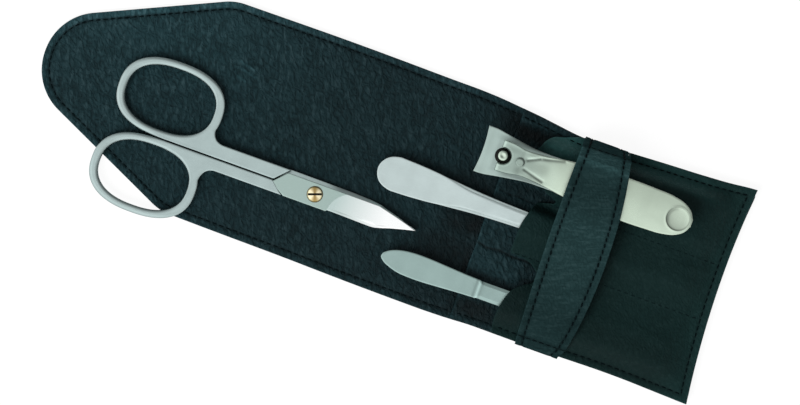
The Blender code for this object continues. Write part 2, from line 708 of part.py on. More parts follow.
def make_scissors(satin, mirror, brass):
    low, high = scissors_z()
    for name, side in (("scissor_blade_back", 1), ("scissor_blade_front", -1)):
        blade = prism(name, shank_outline(side), low, high, satin)
        combine(blade, make_ring(name + "_ring", side, satin), "UNION")
        combine(blade, blade_plate(name + "_plate", side, side < 0, mirror), "UNION")
        hole = cylinder(
            name + "_hole", PIVOT_X, SCISSORS_Y, SCREW_RADIUS + SCREW_PLAY,
            low - CUT_OVERRUN, high + CUT_OVERRUN,
        )
        combine(blade, hole, "DIFFERENCE")
    head_low = high + LAYER_GAP
    head_high = head_low + SCREW_HEAD
    screw = cylinder(
        "scissor_screw", PIVOT_X, SCISSORS_Y, SCREW_RADIUS, low + LAYER_GAP, head_low + LAYER_GAP, brass
    )
    head = cylinder("screw_head", PIVOT_X, SCISSORS_Y, SCREW_HEAD_RADIUS, head_low, head_high, brass)
    combine(screw, head, "UNION")
    half = SCREW_HEAD_RADIUS + CUT_OVERRUN
    left, right = PIVOT_X - half, PIVOT_X + half
    below, above = SCISSORS_Y - SCREW_SLOT / 2, SCISSORS_Y + SCREW_SLOT / 2
    slot = [(left, below), (right, below), (right, above), (left, above)]
    cutter = prism("screw_slot", slot, head_low + SCREW_HEAD / 2, head_high + CUT_OVERRUN)
    combine(screw, cutter, "DIFFERENCE")


def bar_section(x, y, half, low, high, chamfer_share=BAR_CHAMFER_SHARE):
    """A flat bar's cross section at x, its upper edges chamfered."""
    cut = min((high - low) * chamfer_share, half * chamfer_share)
    return [
        (x, y - half, low), (x, y + half, low), (x, y + half, high - cut),
        (x, y + half - cut, high), (x, y - half + cut, high), (x, y - half, high - cut),
    ]


def make_tweezers(satin):
    for name, front in (("tweezer_arm_back", False), ("tweezer_arm_front", True)):
        rings = []
        for share, width in TWEEZER_SHARES:
            half = TWEEZER_WIDTH * width
            low = tweezer_base(share)
            if front:
                low = tweezer_top(share) - TWEEZER_ARM
                if share > FRONT_ARM_START_SHARE:
                    half *= FRONT_ARM_SHARE
            x = TWEEZER_HEEL_X + TWEEZER_LENGTH * share
            rings.append(bar_section(x, TWEEZER_Y, half, low, low + TWEEZER_ARM))
        loft(name, rings, satin)


def file_section(share, width, thickness):
    x = FILE_X + FILE_LENGTH * share
    low = INNER_TOP + REST_GAP + FILE_RISE * (1 - share)
    return bar_section(x, FILE_Y, FILE_WIDTH * width, low, low + thickness)


def make_file(satin):
    rings = [file_section(share, width, FILE_THICKNESS) for share, width in FILE_SHARES]
    rings += [file_section(share, width, FILE_BLADE_THICKNESS) for share, width in FILE_BLADE_SHARES]
    loft("nail_file", rings, satin)


def leaf_height(x):
    """How far the upper leaf stands off the lower one, from jaw to tail."""
    tail = CLIPPER_X + CLIPPER_LENGTH - LEAF_TAIL_FLAT
    start = CLIPPER_X + JAW_LENGTH
    return LEAF_SPREAD * min(max((tail - x) / (tail - start), 0), 1)


def leaf_section(x, share, low, high):
    """A leaf's cross section, hollow in plan near the jaw."""
    half = CLIPPER_WIDTH * along(LEAF_SHARES, share)
    fade = max(1 - (x - CLIPPER_X) / JAW_LENGTH, 0)
    points = []
    for across in (-1, -0.5, 0, 0.5, 1):
        points.append((x + JAW_HOLLOW * fade * (1 - across**2), CLIPPER_Y + half * across))
    return [(px, py, low) for px, py in points] + [(px, py, high) for px, py in points[::-1]]


def make_leaf(name, upper, material):
    rings = []
    stations = spread(0, JAW_LENGTH / CLIPPER_LENGTH, 5)
    stations += [share for share, _ in LEAF_SHARES if share > stations[-1]]
    for share in stations:
        x = CLIPPER_X + CLIPPER_LENGTH * share
        bend = (1 - smooth((x - CLIPPER_X) / JAW_LENGTH)) if share < stations[5] else 0
        thick = LEAF + (JAW_EDGE - LEAF) * bend
        if upper:
            open_low = LEAF + LEAF_GAP + leaf_height(x)
            low = open_low + (JAW_RISE + JAW_GAP / 2 - open_low) * bend
        else:
            low = (JAW_RISE - JAW_GAP / 2 - JAW_EDGE) * bend
        rings.append(leaf_section(x, share, CLIPPER_BASE + low, CLIPPER_BASE + low + thick))
    leaf = loft(name, rings, material)
    tail = CLIPPER_X + CLIPPER_LENGTH - RIVET_FROM_TAIL
    for place, radius, kind in ((PIN_X, PIN_RADIUS, "pin"), (tail, RIVET_RADIUS, "rivet")):
        hole = cylinder(
            f"{name}_{kind}_hole", place, CLIPPER_Y, radius + PIN_PLAY,
            CLIPPER_BASE - CUT_OVERRUN, LEVER_BASE,
        )
        combine(leaf, hole, "DIFFERENCE")


def make_lever(material):
    rings = []
    for share, width in LEVER_SHARES:
        x = LEVER_X + LEVER_LENGTH * share
        lift = smooth((share - LEVER_LIFT_SHARE) / (1 - LEVER_LIFT_SHARE))
        low = LEVER_BASE + LEVER_TAIL_LIFT * lift
        high = low + LEVER_THICKNESS
        half = LEVER_WIDTH * width
        rings.append(bar_section(x, CLIPPER_Y, half, low, high, LEVER_CHAMFER_SHARE))
    lever = loft("clipper_lever", rings, material)
    bump = cylinder(
        "lever_bump", PIN_X + LEVER_BUMP_FROM_PIN, CLIPPER_Y, LEVER_BUMP_RADIUS,
        LEVER_TOP - LEVER_THICKNESS / 2, LEVER_TOP + LEVER_BUMP_HEIGHT,
    )
    combine(lever, bump, "UNION")
    reach = LEVER_FORK_RADIUS + CUT_OVERRUN
    notch = [(LEVER_X - reach, CLIPPER_Y - LEVER_FORK_RADIUS)]
    for turn in spread(-math.pi / 2, math.pi / 2, 8):
        notch.append((
            PIN_X + LEVER_FORK_RADIUS * math.cos(turn),
            CLIPPER_Y + LEVER_FORK_RADIUS * math.sin(turn),
        ))
    notch.append((LEVER_X - reach, CLIPPER_Y + LEVER_FORK_RADIUS))
    fork = prism("lever_fork", notch, LEVER_BASE - CUT_OVERRUN, LEVER_TOP + CUT_OVERRUN)
    combine(lever, fork, "DIFFERENCE")
    dish_x = LEVER_X + LEVER_LENGTH - LEVER_DISH_FROM_TAIL
    dish_top = LEVER_TOP + LEVER_TAIL_LIFT
    dish = cylinder(
        "lever_dish", dish_x, CLIPPER_Y, LEVER_DISH_RADIUS,
        dish_top - LEVER_DISH_DEPTH, dish_top + CUT_OVERRUN,
    )
    combine(lever, dish, "DIFFERENCE")


def make_clipper(nickel):
    make_leaf("clipper_lower_leaf", False, nickel)
    make_leaf("clipper_upper_leaf", True, nickel)
    foot = CLIPPER_BASE + LAYER_GAP
    head_low, head_high = LEVER_TOP + PIN_HEAD / 2, LEVER_TOP + PIN_HEAD * 3 / 2
    pin = cylinder("clipper_pin", PIN_X, CLIPPER_Y, PIN_RADIUS, foot, LEVER_TOP + PIN_HEAD, nickel)
    head = cylinder("pin_head", PIN_X, CLIPPER_Y, PIN_HEAD_RADIUS, head_low, head_high)
    combine(pin, head, "UNION")
    tail = CLIPPER_X + CLIPPER_LENGTH - RIVET_FROM_TAIL
    top = CLIPPER_BASE + 2 * LEAF + LEAF_GAP
    cap_low = top + LAYER_GAP
    rivet = cylinder("clipper_rivet", tail, CLIPPER_Y, RIVET_RADIUS, foot, top + RIVET_HEAD, nickel)
    cap = cylinder("rivet_cap", tail, CLIPPER_Y, RIVET_HEAD_RADIUS, cap_low, cap_low + RIVET_HEAD)
    combine(rivet, cap, "UNION")
    make_lever(nickel)


def main():
    for obj in list(bpy.data.objects):
        bpy.data.objects.remove(obj)
    bpy.context.scene.unit_settings.system = "METRIC"
    leather = make_material("grained_leather", (0.012, 0.030, 0.034), 0.5, 0)
    suede = make_material("lining_leather", (0.014, 0.033, 0.038), 0.6, 0)
    board = make_material("stiff_board", (0.10, 0.09, 0.08), 0.9, 0)
    thread = make_material("seam_thread", (0.01, 0.02, 0.04), 0.7, 0)
    satin = make_material("satin_steel", (0.48, 0.50, 0.48), 0.35, 1)
    mirror = make_material("mirror_steel", (0.75, 0.77, 0.76), 0.08, 1)
    nickel = make_material("nickel_plate", (0.62, 0.61, 0.57), 0.22, 1)
    brass = make_material("brass_screw", (0.72, 0.55, 0.22), 0.25, 1)
    make_case_layers(leather, suede, board)
    make_front_panel(leather)
    make_seam_threads(thread)
    make_strap(leather, suede)
    make_scissors(satin, mirror, brass)
    make_tweezers(satin)
    make_file(satin)
    make_clipper(nickel)


main()
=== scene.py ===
"""The looks of an open leather manicure pouch with scissors, tweezers, file and clipper."""

import math

import bmesh
import bpy
import numpy as np
from mathutils import Matrix, Vector, geometry, kdtree, noise
from mathutils.bvhtree import BVHTree


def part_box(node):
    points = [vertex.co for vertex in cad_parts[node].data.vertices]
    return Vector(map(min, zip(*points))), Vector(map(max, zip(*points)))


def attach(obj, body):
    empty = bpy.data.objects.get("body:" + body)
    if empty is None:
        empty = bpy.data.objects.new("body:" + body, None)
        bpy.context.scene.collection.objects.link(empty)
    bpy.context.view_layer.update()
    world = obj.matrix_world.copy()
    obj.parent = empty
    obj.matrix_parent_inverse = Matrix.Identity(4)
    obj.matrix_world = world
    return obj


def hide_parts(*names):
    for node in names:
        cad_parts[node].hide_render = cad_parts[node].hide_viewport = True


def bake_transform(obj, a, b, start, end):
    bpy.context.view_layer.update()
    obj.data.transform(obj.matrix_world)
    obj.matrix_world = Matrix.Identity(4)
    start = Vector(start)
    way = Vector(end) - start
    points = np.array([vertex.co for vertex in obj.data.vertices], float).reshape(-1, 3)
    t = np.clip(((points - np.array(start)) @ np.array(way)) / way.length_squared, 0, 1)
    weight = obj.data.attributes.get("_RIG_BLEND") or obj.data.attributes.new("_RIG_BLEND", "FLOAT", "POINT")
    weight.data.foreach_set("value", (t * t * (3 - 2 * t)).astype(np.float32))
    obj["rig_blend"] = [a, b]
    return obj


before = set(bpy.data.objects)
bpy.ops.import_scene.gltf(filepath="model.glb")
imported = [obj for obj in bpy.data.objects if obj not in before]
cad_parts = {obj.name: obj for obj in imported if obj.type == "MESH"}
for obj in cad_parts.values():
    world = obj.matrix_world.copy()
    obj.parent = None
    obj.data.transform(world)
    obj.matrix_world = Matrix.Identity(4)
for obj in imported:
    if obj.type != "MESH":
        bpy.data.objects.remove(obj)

MM = 0.001
UP, DOWN = Vector((0, 0, 1)), Vector((0, 0, -1))
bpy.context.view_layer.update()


def mm(*values):
    return [value * MM for value in values]


# The camera looks straight down, turned so that the case lies as in the photograph
IMAGE_TURN = math.radians(19.8)
VIEW_CENTRE = (6.67 * MM, -5.78 * MM)
VIEW_WIDTH = 221.0 * MM
CAMERA_HEIGHT = 2.0
SENSOR = 36.0

# Leather
LEATHER_STEP = 1.0 * MM
EDGE_STEP = 0.5 * MM
RIM_DEPTHS = mm(0.06, 0.18, 0.35, 0.6, 1.0, 1.45, 1.8, 2.05, 2.3, 2.6, 3.1, 3.8)
STITCH_INSET = 2.1 * MM
STITCH_PITCH = 2.0 * MM
STITCH_LENGTH = 1.5 * MM
STITCH_RADIUS = 0.17 * MM
STITCH_STEP = 0.8 * MM  # no stitch crosses a higher step between two layers
GROOVE_DEPTH = 0.24 * MM
GROOVE_WIDTH = 0.42 * MM
PUCKER = 0.05 * MM
PUCKER_INSET = STITCH_INSET * 0.62
PUCKER_WIDTH = 0.7 * MM
RIM_ROLL = 0.4 * MM
BOARD_INSET = 3.5 * MM

# Scissors, from the pivot
PIVOT = (-16.2 * MM, -11.6 * MM)
RING_BACK = 46.3 * MM
RING_SIDE = 11.0 * MM
RING_OUTER = (15.15 * MM, 10.85 * MM)
RING_INNER = (12.65 * MM, 8.7 * MM)
RING_SQUARENESS = 2.4
SHANK_UPPER = 4.1 * MM
SHANK_LOWER = 3.4 * MM
EDGE_SIDE = 3.1 * MM
SPLIT = 0.15 * MM
NOSE = 12.2 * MM
NOSE_UPPER = 8.4 * MM
NOSE_LOWER = 8.6 * MM
BLADE_REACH = 29.6 * MM


def image_axes():
    """The photograph's right and up directions on the floor."""
    right = Vector((math.cos(IMAGE_TURN), math.sin(IMAGE_TURN), 0))
    return right, Vector((-right.y, right.x, 0))


# Reading the frame

def node_faces(name):
    """A CAD node's points, merged where they meet, and its faces with their normals."""
    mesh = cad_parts[name].data
    known, points, index = {}, [], []
    for vertex in mesh.vertices:
        key = tuple(round(c / MM * 1000) for c in vertex.co)
        if key not in known:
            known[key] = len(points)
            points.append(vertex.co.copy())
        index.append(known[key])
    faces = [([index[v] for v in poly.vertices], poly.normal.copy()) for poly in mesh.polygons]
    return points, faces


def plan_outline(name, upright=0.2):
    """The longest outline of a CAD node's upward faces, anticlockwise."""
    points, faces = node_faces(name)
    ahead = {}
    edges = set()
    for face, normal in faces:
        if normal.z > upright:
            for a, b in zip(face, face[1:] + face[:1]):
                if (b, a) in edges:
                    edges.remove((b, a))
                else:
                    edges.add((a, b))
    for a, b in edges:
        ahead[a] = b
    loops = []
    while ahead:
        start, place = next(iter(ahead.items()))
        loop = [start]
        del ahead[start]
        while place in ahead:
            loop.append(place)
            place = ahead.pop(place)
        loops.append([points[i].to_2d() for i in loop])
    return max(loops, key=lambda loop: sum((a - b).length for a, b in zip(loop, loop[1:])))


class Surface:
    """A CAD node's skin, to be probed from above and from below."""

    def __init__(self, name):
        points, faces = node_faces(name)
        self.tree = BVHTree.FromPolygons(points, [face for face, _ in faces])
        self.low, self.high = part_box(name)

    def top(self, x, y):
        hit = self.tree.ray_cast(Vector((x, y, self.high.z + MM)), DOWN)[0]
        return hit.z if hit else None

    def bottom(self, x, y):
        hit = self.tree.ray_cast(Vector((x, y, self.low.z - MM)), UP)[0]
        return hit.z if hit else None

    def line(self, y, count=60):
        """Heights of its underside and its top along x, as three arrays."""
        margin = 0.02 * MM
        rows = []
        for x in np.linspace(self.low.x + margin, self.high.x - margin, count):
            low, high = self.bottom(x, y), self.top(x, y)
            if low is not None and high is not None:
                rows.append((x, low, high))
        return np.array(rows).T


# Plans and relief sheets

LONG_SIDE = 2.2


def headings(before, here, after, corner):
    """The directions in which a curve reaches and leaves a point."""
    into, away = here - before, after - here
    a, b = into.length, away.length
    into, away = into / a, away / b
    if into.angle(away) > corner:
        return into, away
    if a > LONG_SIDE * b:
        return into, into
    if b > LONG_SIDE * a:
        return away, away
    mean = (into * b + away * a).normalized()
    return mean, mean


def curve_through(points, step, closed=True, corner=math.radians(50)):
    """Places about every step along a smooth curve, sharp at corners, straight on long sides."""
    points = [Vector(p) for p in points]
    count = len(points)
    turns = []
    for i, here in enumerate(points):
        before = points[i - 1] if closed or i > 0 else here * 2 - points[1]
        after = points[(i + 1) % count] if closed or i + 1 < count else here * 2 - points[i - 1]
        turns.append(headings(before, here, after, corner))
    places = []
    for i in range(count if closed else count - 1):
        k = (i + 1) % count
        start, end = points[i], points[k]
        gap = (end - start).length
        leave, reach = turns[i][1] * gap, turns[k][0] * gap
        pieces = max(1, round(gap / step))
        for t in (j / pieces for j in range(pieces)):
            u = 1 - t
            places.append(
                start * (u * u * (1 + 2 * t)) + leave * (t * u * u)
                + end * (t * t * (3 - 2 * t)) - reach * (t * t * u)
            )
    if not closed:
        places.append(points[-1])
    return places


def thinned(points, gap):
    kept = []
    for point in points:
        if not kept or (point - kept[-1]).length > gap:
            kept.append(point)
    if (kept[0] - kept[-1]).length <= gap:
        kept.pop()
    return kept


class Plan:
    """A region seen from above: an anticlockwise outline and clockwise holes."""

    def __init__(self, *loops):
        self.loops = [np.array([tuple(p)[:2] for p in loop]) for loop in loops]
        self.points = np.concatenate(self.loops)
        self.ahead, self.behind, self.length = [], [], []
        start = 0
        for loop in self.loops:
            count = len(loop)
            self.ahead += [start + (i + 1) % count for i in range(count)]
            self.behind += [start + (i - 1) % count for i in range(count)]
            sides = np.hypot(*(np.roll(loop, -1, axis=0) - loop).T)
            self.length += list(np.concatenate([[0], np.cumsum(sides)[:-1]]))
            start += count
        self.ahead, self.behind = np.array(self.ahead), np.array(self.behind)
        self.length = np.array(self.length)
        self.tree = kdtree.KDTree(len(self.points))
        for i, (x, y) in enumerate(self.points):
            self.tree.insert((x, y, 0), i)
        self.tree.balance()

    def edge(self, places):
        """The distance of each place from the edge, and its place along the edge."""
        near = np.array([self.tree.find((x, y, 0))[1] for x, y in places])
        depth = np.full(len(places), np.inf)
        along = np.zeros(len(places))
        for first, second in ((near, self.ahead[near]), (self.behind[near], near)):
            a, side = self.points[first], self.points[second] - self.points[first]
            square = np.maximum((side * side).sum(1), 1e-18)
            t = np.clip(((places - a) * side).sum(1) / square, 0, 1)
            gap = np.hypot(*(places - a - side * t[:, None]).T)
            nearer = gap < depth
            depth = np.where(nearer, gap, depth)
            along = np.where(nearer, self.length[first] + t * np.sqrt(square), along)
        return depth, along

    def inside(self, places):
        count = np.zeros(len(places), dtype=int)
        a, b = self.points, self.points[self.ahead]
        for chunk in range(0, len(places), 4000):
            x, y = places[chunk:chunk + 4000].T[:, :, None]
            spans = (a[:, 1] > y) != (b[:, 1] > y)
            rise = np.where(b[:, 1] == a[:, 1], 1, b[:, 1] - a[:, 1])
            cross = a[:, 0] + (y - a[:, 1]) / rise * (b[:, 0] - a[:, 0])
            count[chunk:chunk + 4000] = (spans & (x < cross)).sum(1)
        return count % 2 == 1

    def inset(self, depth):
        """Places at a depth from the edge, left out where another edge is nearer."""
        rows = []
        for loop in self.loops:
            ahead = np.roll(loop, -1, axis=0) - np.roll(loop, 1, axis=0)
            inward = np.stack([-ahead[:, 1], ahead[:, 0]], axis=1)
            inward /= np.maximum(np.hypot(*inward.T), 1e-12)[:, None]
            rows.append(loop + inward * depth)
        places = np.concatenate(rows)
        return places[self.edge(places)[0] > depth * 0.97]

    def grid(self, step, depth):
        """A triangular grid of places deeper than a depth."""
        low, high = self.points.min(0), self.points.max(0)
        rise = step * math.sqrt(3) / 2
        rows = []
        for k, y in enumerate(np.arange(low[1], high[1], rise)):
            x = np.arange(low[0] + (k % 2) * step / 2, high[0], step)
            rows.append(np.stack([x, np.full(len(x), y)], axis=1))
        places = np.concatenate(rows)
        places = places[self.inside(places)]
        return places[self.edge(places)[0] > depth]


def new_object(name, data):
    obj = bpy.data.objects.new(name, data)
    bpy.context.scene.collection.objects.link(obj)
    return obj


def dress(obj, node, body):
    """obj takes the CAD node's place and moves with its body."""
    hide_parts(node)
    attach(obj, body)


def closed_mesh(name, points, faces, material):
    mesh = bpy.data.meshes.new(name)
    mesh.from_pydata([tuple(p) for p in points], [], faces)
    bm = bmesh.new()
    bm.from_mesh(mesh)
    bmesh.ops.recalc_face_normals(bm, faces=bm.faces)
    bm.to_mesh(mesh)
    bm.free()
    mesh.shade_smooth()
    obj = new_object(name, mesh)
    mesh.materials.append(material)
    set_points(obj, "tone", np.ones(len(points)))
    return obj


def set_points(obj, name, values):
    """Store one value per point for the materials: tone lightens or darkens their colour, mostly with
    painted light and shade.
    """
    layers = obj.data.attributes
    layer = layers.get(name) or layers.new(name, "FLOAT", "POINT")
    layer.data.foreach_set("value", np.array(values, dtype=np.float32))


def relief(name, plan, step, depths, top, bottom, material, extra=(), tone=None):
    """A closed sheet over a plan. top, bottom and tone are given at (x, y, depth)."""
    rows = [plan.points] + [plan.inset(depth) for depth in depths]
    rows.append(plan.grid(step, (depths[-1] if depths else 0) + step / 2))
    rows += [np.array(places) for places in extra]
    places = np.concatenate(rows)
    edges = [(i, int(plan.ahead[i])) for i in range(len(plan.points))]
    cut = geometry.delaunay_2d_cdt([Vector(p) for p in places], edges, [], 0, 1e-9)
    flat, triangles = np.array([tuple(v) for v in cut[0]]), np.array(cut[2])
    triangles = triangles[plan.inside(flat[triangles].mean(axis=1))]
    used, flat_index = np.unique(triangles, return_inverse=True)
    flat, triangles = flat[used], flat_index.reshape(-1, 3)
    depth, _ = plan.edge(flat)
    x, y = flat.T
    highs, lows = top(x, y, depth), bottom(x, y, depth)
    count = len(flat)
    points = np.concatenate([np.stack([x, y, highs], 1), np.stack([x, y, lows], 1)])
    faces = [tuple(t) for t in triangles] + [tuple(count + t[::-1]) for t in triangles]
    directed = {(a, b) for t in triangles for a, b in ((t[0], t[1]), (t[1], t[2]), (t[2], t[0]))}
    faces += [(b, a, count + a, count + b) for a, b in directed if (b, a) not in directed]
    obj = closed_mesh(name, points, [tuple(int(i) for i in f) for f in faces], material)
    if tone:
        shade = tone(x, y, depth)
        set_points(obj, "tone", np.concatenate([shade, np.full(count, shade.mean())]))
    return obj


def smooth(share):
    share = np.clip(share, 0, 1)
    return share * share * (3 - 2 * share)


def rolled(depth, width, drop):
    """How far a rounded edge falls: all of drop at the edge, none past width."""
    share = 1 - np.clip(depth / width, 0, 1)
    return drop * (1 - np.sqrt(np.clip(1 - share * share, 0, 1)))


def bell(value, width):
    return np.exp(-(value / width) ** 2)


def ripples(x, y, size, seed, stretch=1.0, turn=0.0):
    """Smooth noise with features of a size, longer along the turned y axis."""
    c, s = math.cos(turn), math.sin(turn)
    u, v = (x * c + y * s) / size, (-x * s + y * c) / size / stretch
    return np.array([noise.noise(Vector((a, b, seed))) for a, b in zip(u, v)])


def line_gap(x, y, start, end):
    """Distance from a straight stroke between two places."""
    a, b = np.array(start), np.array(end)
    side = b - a
    t = np.clip(((x - a[0]) * side[0] + (y - a[1]) * side[1]) / (side @ side), 0, 1)
    return np.hypot(x - a[0] - side[0] * t, y - a[1] - side[1] * t)


def strokes(x, y, lines, width):
    """A sum of soft ridges along strokes in millimetres: x, y, x, y, height."""
    total = np.zeros(len(x))
    for x0, y0, x1, y1, height in lines:
        gap = line_gap(x, y, (x0 * MM, y0 * MM), (x1 * MM, y1 * MM))
        total += height * bell(gap, width)
    return total


def spots(x, y, places):
    """The product of soft lighter or darker patches: x, y, half width, half height, gain."""
    total = np.ones(len(x))
    for cx, cy, half_x, half_y, gain in places:
        total *= 1 + gain * np.exp(-((x / MM - cx) / half_x) ** 4 - ((y / MM - cy) / half_y) ** 4)
    return total


def beside(lines, gaps, step):
    """Rows of places along strokes and at gaps beside them, all in millimetres."""
    rows = []
    for x0, y0, x1, y1, *_ in lines:
        side = np.array([x1 - x0, y1 - y0])
        length = math.hypot(*side)
        share = np.linspace(0, 1, max(2, round(length / step)))[:, None]
        across = np.array([-side[1], side[0]]) / length
        rows += [(np.array([x0, y0]) + side * share + across * gap) * MM for gap in gaps]
    return rows


def circles(x, y, radii, step):
    """Rings of places round a centre, all in millimetres."""
    rows = []
    for radius in radii:
        angles = np.linspace(0, 2 * math.pi, max(8, round(6.283 * radius / step)), endpoint=False)
        rows.append(np.stack([x + radius * np.cos(angles), y + radius * np.sin(angles)], 1) * MM)
    return rows


# Materials

# How much red, green and blue count in a colour's lightness
LIGHTNESS = (0.21, 0.72, 0.07)


def neutral(value):
    return value, value, value, 1


class Nodes:
    """Shorthand for building a node tree."""

    def __init__(self, tree):
        self.tree = tree

    def add(self, kind, values=(), **settings):
        node = self.tree.nodes.new(kind)
        for key, value in settings.items():
            setattr(node, key, value)
        for key, value in dict(values).items():
            self.set(node.inputs[key], value)
        return node

    def set(self, socket, value):
        if isinstance(value, bpy.types.NodeSocket):
            self.tree.links.new(value, socket)
        else:
            socket.default_value = value

    def math(self, operation, first, second=0.0, third=0.0):
        node = self.add("ShaderNodeMath", operation=operation)
        for socket, value in zip(node.inputs, (first, second, third)):
            self.set(socket, value)
        return node.outputs[0]

    def weighted(self, *pairs):
        """The sum of values times their weights."""
        total = 0.0
        for value, weight in pairs:
            total = self.math("MULTIPLY_ADD", value, weight, total)
        return total

    def span(self, value, low, high, to_low=0.0, to_high=1.0):
        node = self.add("ShaderNodeMapRange", {
            "Value": value, "From Min": low, "From Max": high, "To Min": to_low, "To Max": to_high,
        })
        return node.outputs[0]

    def mix(self, share, first, second):
        node = self.add("ShaderNodeMix", data_type="RGBA")
        self.set(node.inputs[0], share)
        self.set(node.inputs[6], (*first, 1) if isinstance(first, tuple) else first)
        self.set(node.inputs[7], (*second, 1) if isinstance(second, tuple) else second)
        return node.outputs[2]

    def place(self, turn=0.0, scale=(1, 1, 1)):
        """Object coordinates in metres, turned about z and scaled."""
        coordinates = self.add("ShaderNodeTexCoord").outputs["Object"]
        turned = self.add("ShaderNodeMapping", {"Vector": coordinates, "Rotation": (0, 0, -turn)})
        return self.add("ShaderNodeMapping", {"Vector": turned.outputs[0], "Scale": scale}).outputs[0]

    def noise(self, vector, size, detail=2.0, rough=0.5, twist=0.0):
        node = self.add("ShaderNodeTexNoise", {
            "Vector": vector, "Scale": 1 / size, "Detail": detail, "Roughness": rough, "Distortion": twist,
        })
        return node.outputs[0]

    def warped(self, vector, size, reach):
        """Coordinates pushed about by soft noise."""
        cloud = self.add("ShaderNodeTexNoise", {"Vector": vector, "Scale": 1 / size, "Detail": 1.0})
        terms = {0: cloud.outputs["Color"], 1: (reach, reach, reach), 2: vector}
        return self.add("ShaderNodeVectorMath", terms, operation="MULTIPLY_ADD").outputs[0]

    def tone(self):
        return self.add("ShaderNodeAttribute", attribute_name="tone").outputs["Fac"]

    def times(self, shade, colour, most):
        """A colour times a shade between 0 and most."""
        return self.mix(self.span(shade, 0.0, most), (0.0, 0.0, 0.0), tuple(c * most for c in colour))

    def painted_sheen(self, shade, colour, most, grey):
        """A colour times a shade and the tone, greyer where the shade goes above one: a painted sheen on the
        lightest places. The tone holds each piece's painted light and shade.
        """
        level = sum(weight * c for weight, c in zip(LIGHTNESS, colour))
        light = tuple(most * (c * (1 - grey) + level * grey) for c in colour)
        full = self.mix(self.span(shade, 1.0, most), self.times(shade, colour, 1.0), light)
        toned = self.add("ShaderNodeVectorMath", {"Vector": full, "Scale": self.tone()}, operation="SCALE")
        return toned.outputs[0]

    def local(self, origin, turn=0.0):
        """Coordinates from an origin as separate x and y, turned about z."""
        terms = {0: self.add("ShaderNodeTexCoord").outputs["Object"], 1: (*origin, 0)}
        moved = self.add("ShaderNodeVectorMath", terms, operation="SUBTRACT")
        turned = self.add("ShaderNodeMapping", {"Vector": moved.outputs[0], "Rotation": (0, 0, -turn)})
        parts = self.add("ShaderNodeSeparateXYZ", {"Vector": turned.outputs[0]})
        return parts.outputs["X"], parts.outputs["Y"]

    def bump(self, height, distance, strength=1.0):
        values = {"Height": height, "Distance": distance, "Strength": strength}
        return self.add("ShaderNodeBump", values).outputs[0]


class Finish(Nodes):
    """A material's node tree round its main shader."""

    def __init__(self, name):
        self.material = bpy.data.materials.new(name)
        self.material.use_nodes = True
        super().__init__(self.material.node_tree)
        self.shader = self.tree.nodes["Principled BSDF"]

    def finish(self, **sockets):
        for key, value in sockets.items():
            self.set(self.shader.inputs[key.replace("_", " ")], value)
        return self.material


# The leather's patterns: their sizes, how far its shade goes, and how grey its lightest places are, as a
# painted sheen
VEIN_SIZE, FOLD_SIZE, PORE_SIZE, BLOTCH_SIZE = 1.9 * MM, 3.2 * MM, 0.25 * MM, 10 * MM
WARP_SIZE, WARP_REACH = 2.2 * MM, 1.5 * MM
MEAN_SHADE, LEAST_SHADE, MOST_SHADE = 0.17, 0.15, 5.0
SHEEN_GREYING = 0.35


def leather(name, colour, contrast, grain, size, cell, lie, veins=(1.0, 0.65), specular=0.12):
    """Grained leather: light veins and soft streaks over fine pebbles, shaded by its tone."""
    n = Finish(name)
    vein = n.noise(n.place(IMAGE_TURN, (*veins, 1.0)), VEIN_SIZE, 2, 0.5, 1.2)
    vein = n.span(n.math("ABSOLUTE", n.math("SUBTRACT", vein, 0.5)), 0.0, 0.14, 1.0, 0.0)
    streaks = n.noise(n.place(IMAGE_TURN, (*lie, 1.0)), size, 3, 0.55, 0.5)
    folds = n.noise(n.place(IMAGE_TURN + 0.3, (*lie, 1.0)), FOLD_SIZE, 2, 0.5)
    light, broad = n.span(streaks, 0.50, 0.78), n.span(folds, 0.48, 0.80)
    pebbles = n.add("ShaderNodeTexVoronoi", {
        "Vector": n.warped(n.place(IMAGE_TURN + 0.35, (1.0, 0.62, 1.0)), WARP_SIZE, WARP_REACH),
        "Scale": 1 / cell,
    }, feature="DISTANCE_TO_EDGE").outputs["Distance"]
    pebbles = n.span(pebbles, 0.0, 0.30, 1.0, 0.0)
    pores = n.noise(n.place(), PORE_SIZE, 2)
    blotch = n.noise(n.place(IMAGE_TURN, (1.0, 0.7, 1.0)), BLOTCH_SIZE, 3, 0.55)
    shade = n.weighted((broad, 0.30), (light, 1.0), (blotch, 0.30), (pebbles, -0.40), (vein, 0.12))
    shade = n.math("MULTIPLY_ADD", n.math("SUBTRACT", shade, MEAN_SHADE), contrast, 1.0)
    shade = n.math("MAXIMUM", shade, LEAST_SHADE)
    height = n.weighted((streaks, 1.2), (pebbles, -0.55), (folds, 1.4), (vein, 0.35), (pores, 0.12))
    return n.finish(
        Base_Color=n.painted_sheen(shade, colour, MOST_SHADE, SHEEN_GREYING), Specular_IOR_Level=specular,
        Normal=n.bump(height, grain),
        Roughness=n.span(streaks, 0.2, 0.8, 0.68, 0.52),
    )


def steel(name, colour, rough, brushed=0.25, left=None, span=(0.0, 1.0)):
    """Ground steel: fine lines along the tool, slightly uneven, times the tone's painted light and shade,
    with another colour left of a span.
    """
    n = Finish(name)
    lines = n.noise(n.place(0.0, (1 / 9, 1.0, 1.0)), 0.12 * MM, 2)
    cloud = n.noise(n.place(), 5 * MM, 3)
    even = n.math("MULTIPLY_ADD", n.math("SUBTRACT", lines, 0.5), 0.5, cloud)
    shade = n.math("MULTIPLY", n.span(even, 0.25, 0.75, 0.95, 1.05), n.tone())
    full = n.times(shade, colour, 1.9)
    if left:
        full = n.mix(n.span(n.local((0, 0))[0], *span), n.times(shade, left, 1.9), full)
    return n.finish(
        Base_Color=full, Metallic=1.0,
        Roughness=n.span(even, 0.2, 0.8, rough + 0.05, rough - 0.05),
        Normal=n.bump(lines, 0.012 * MM, brushed),
    )


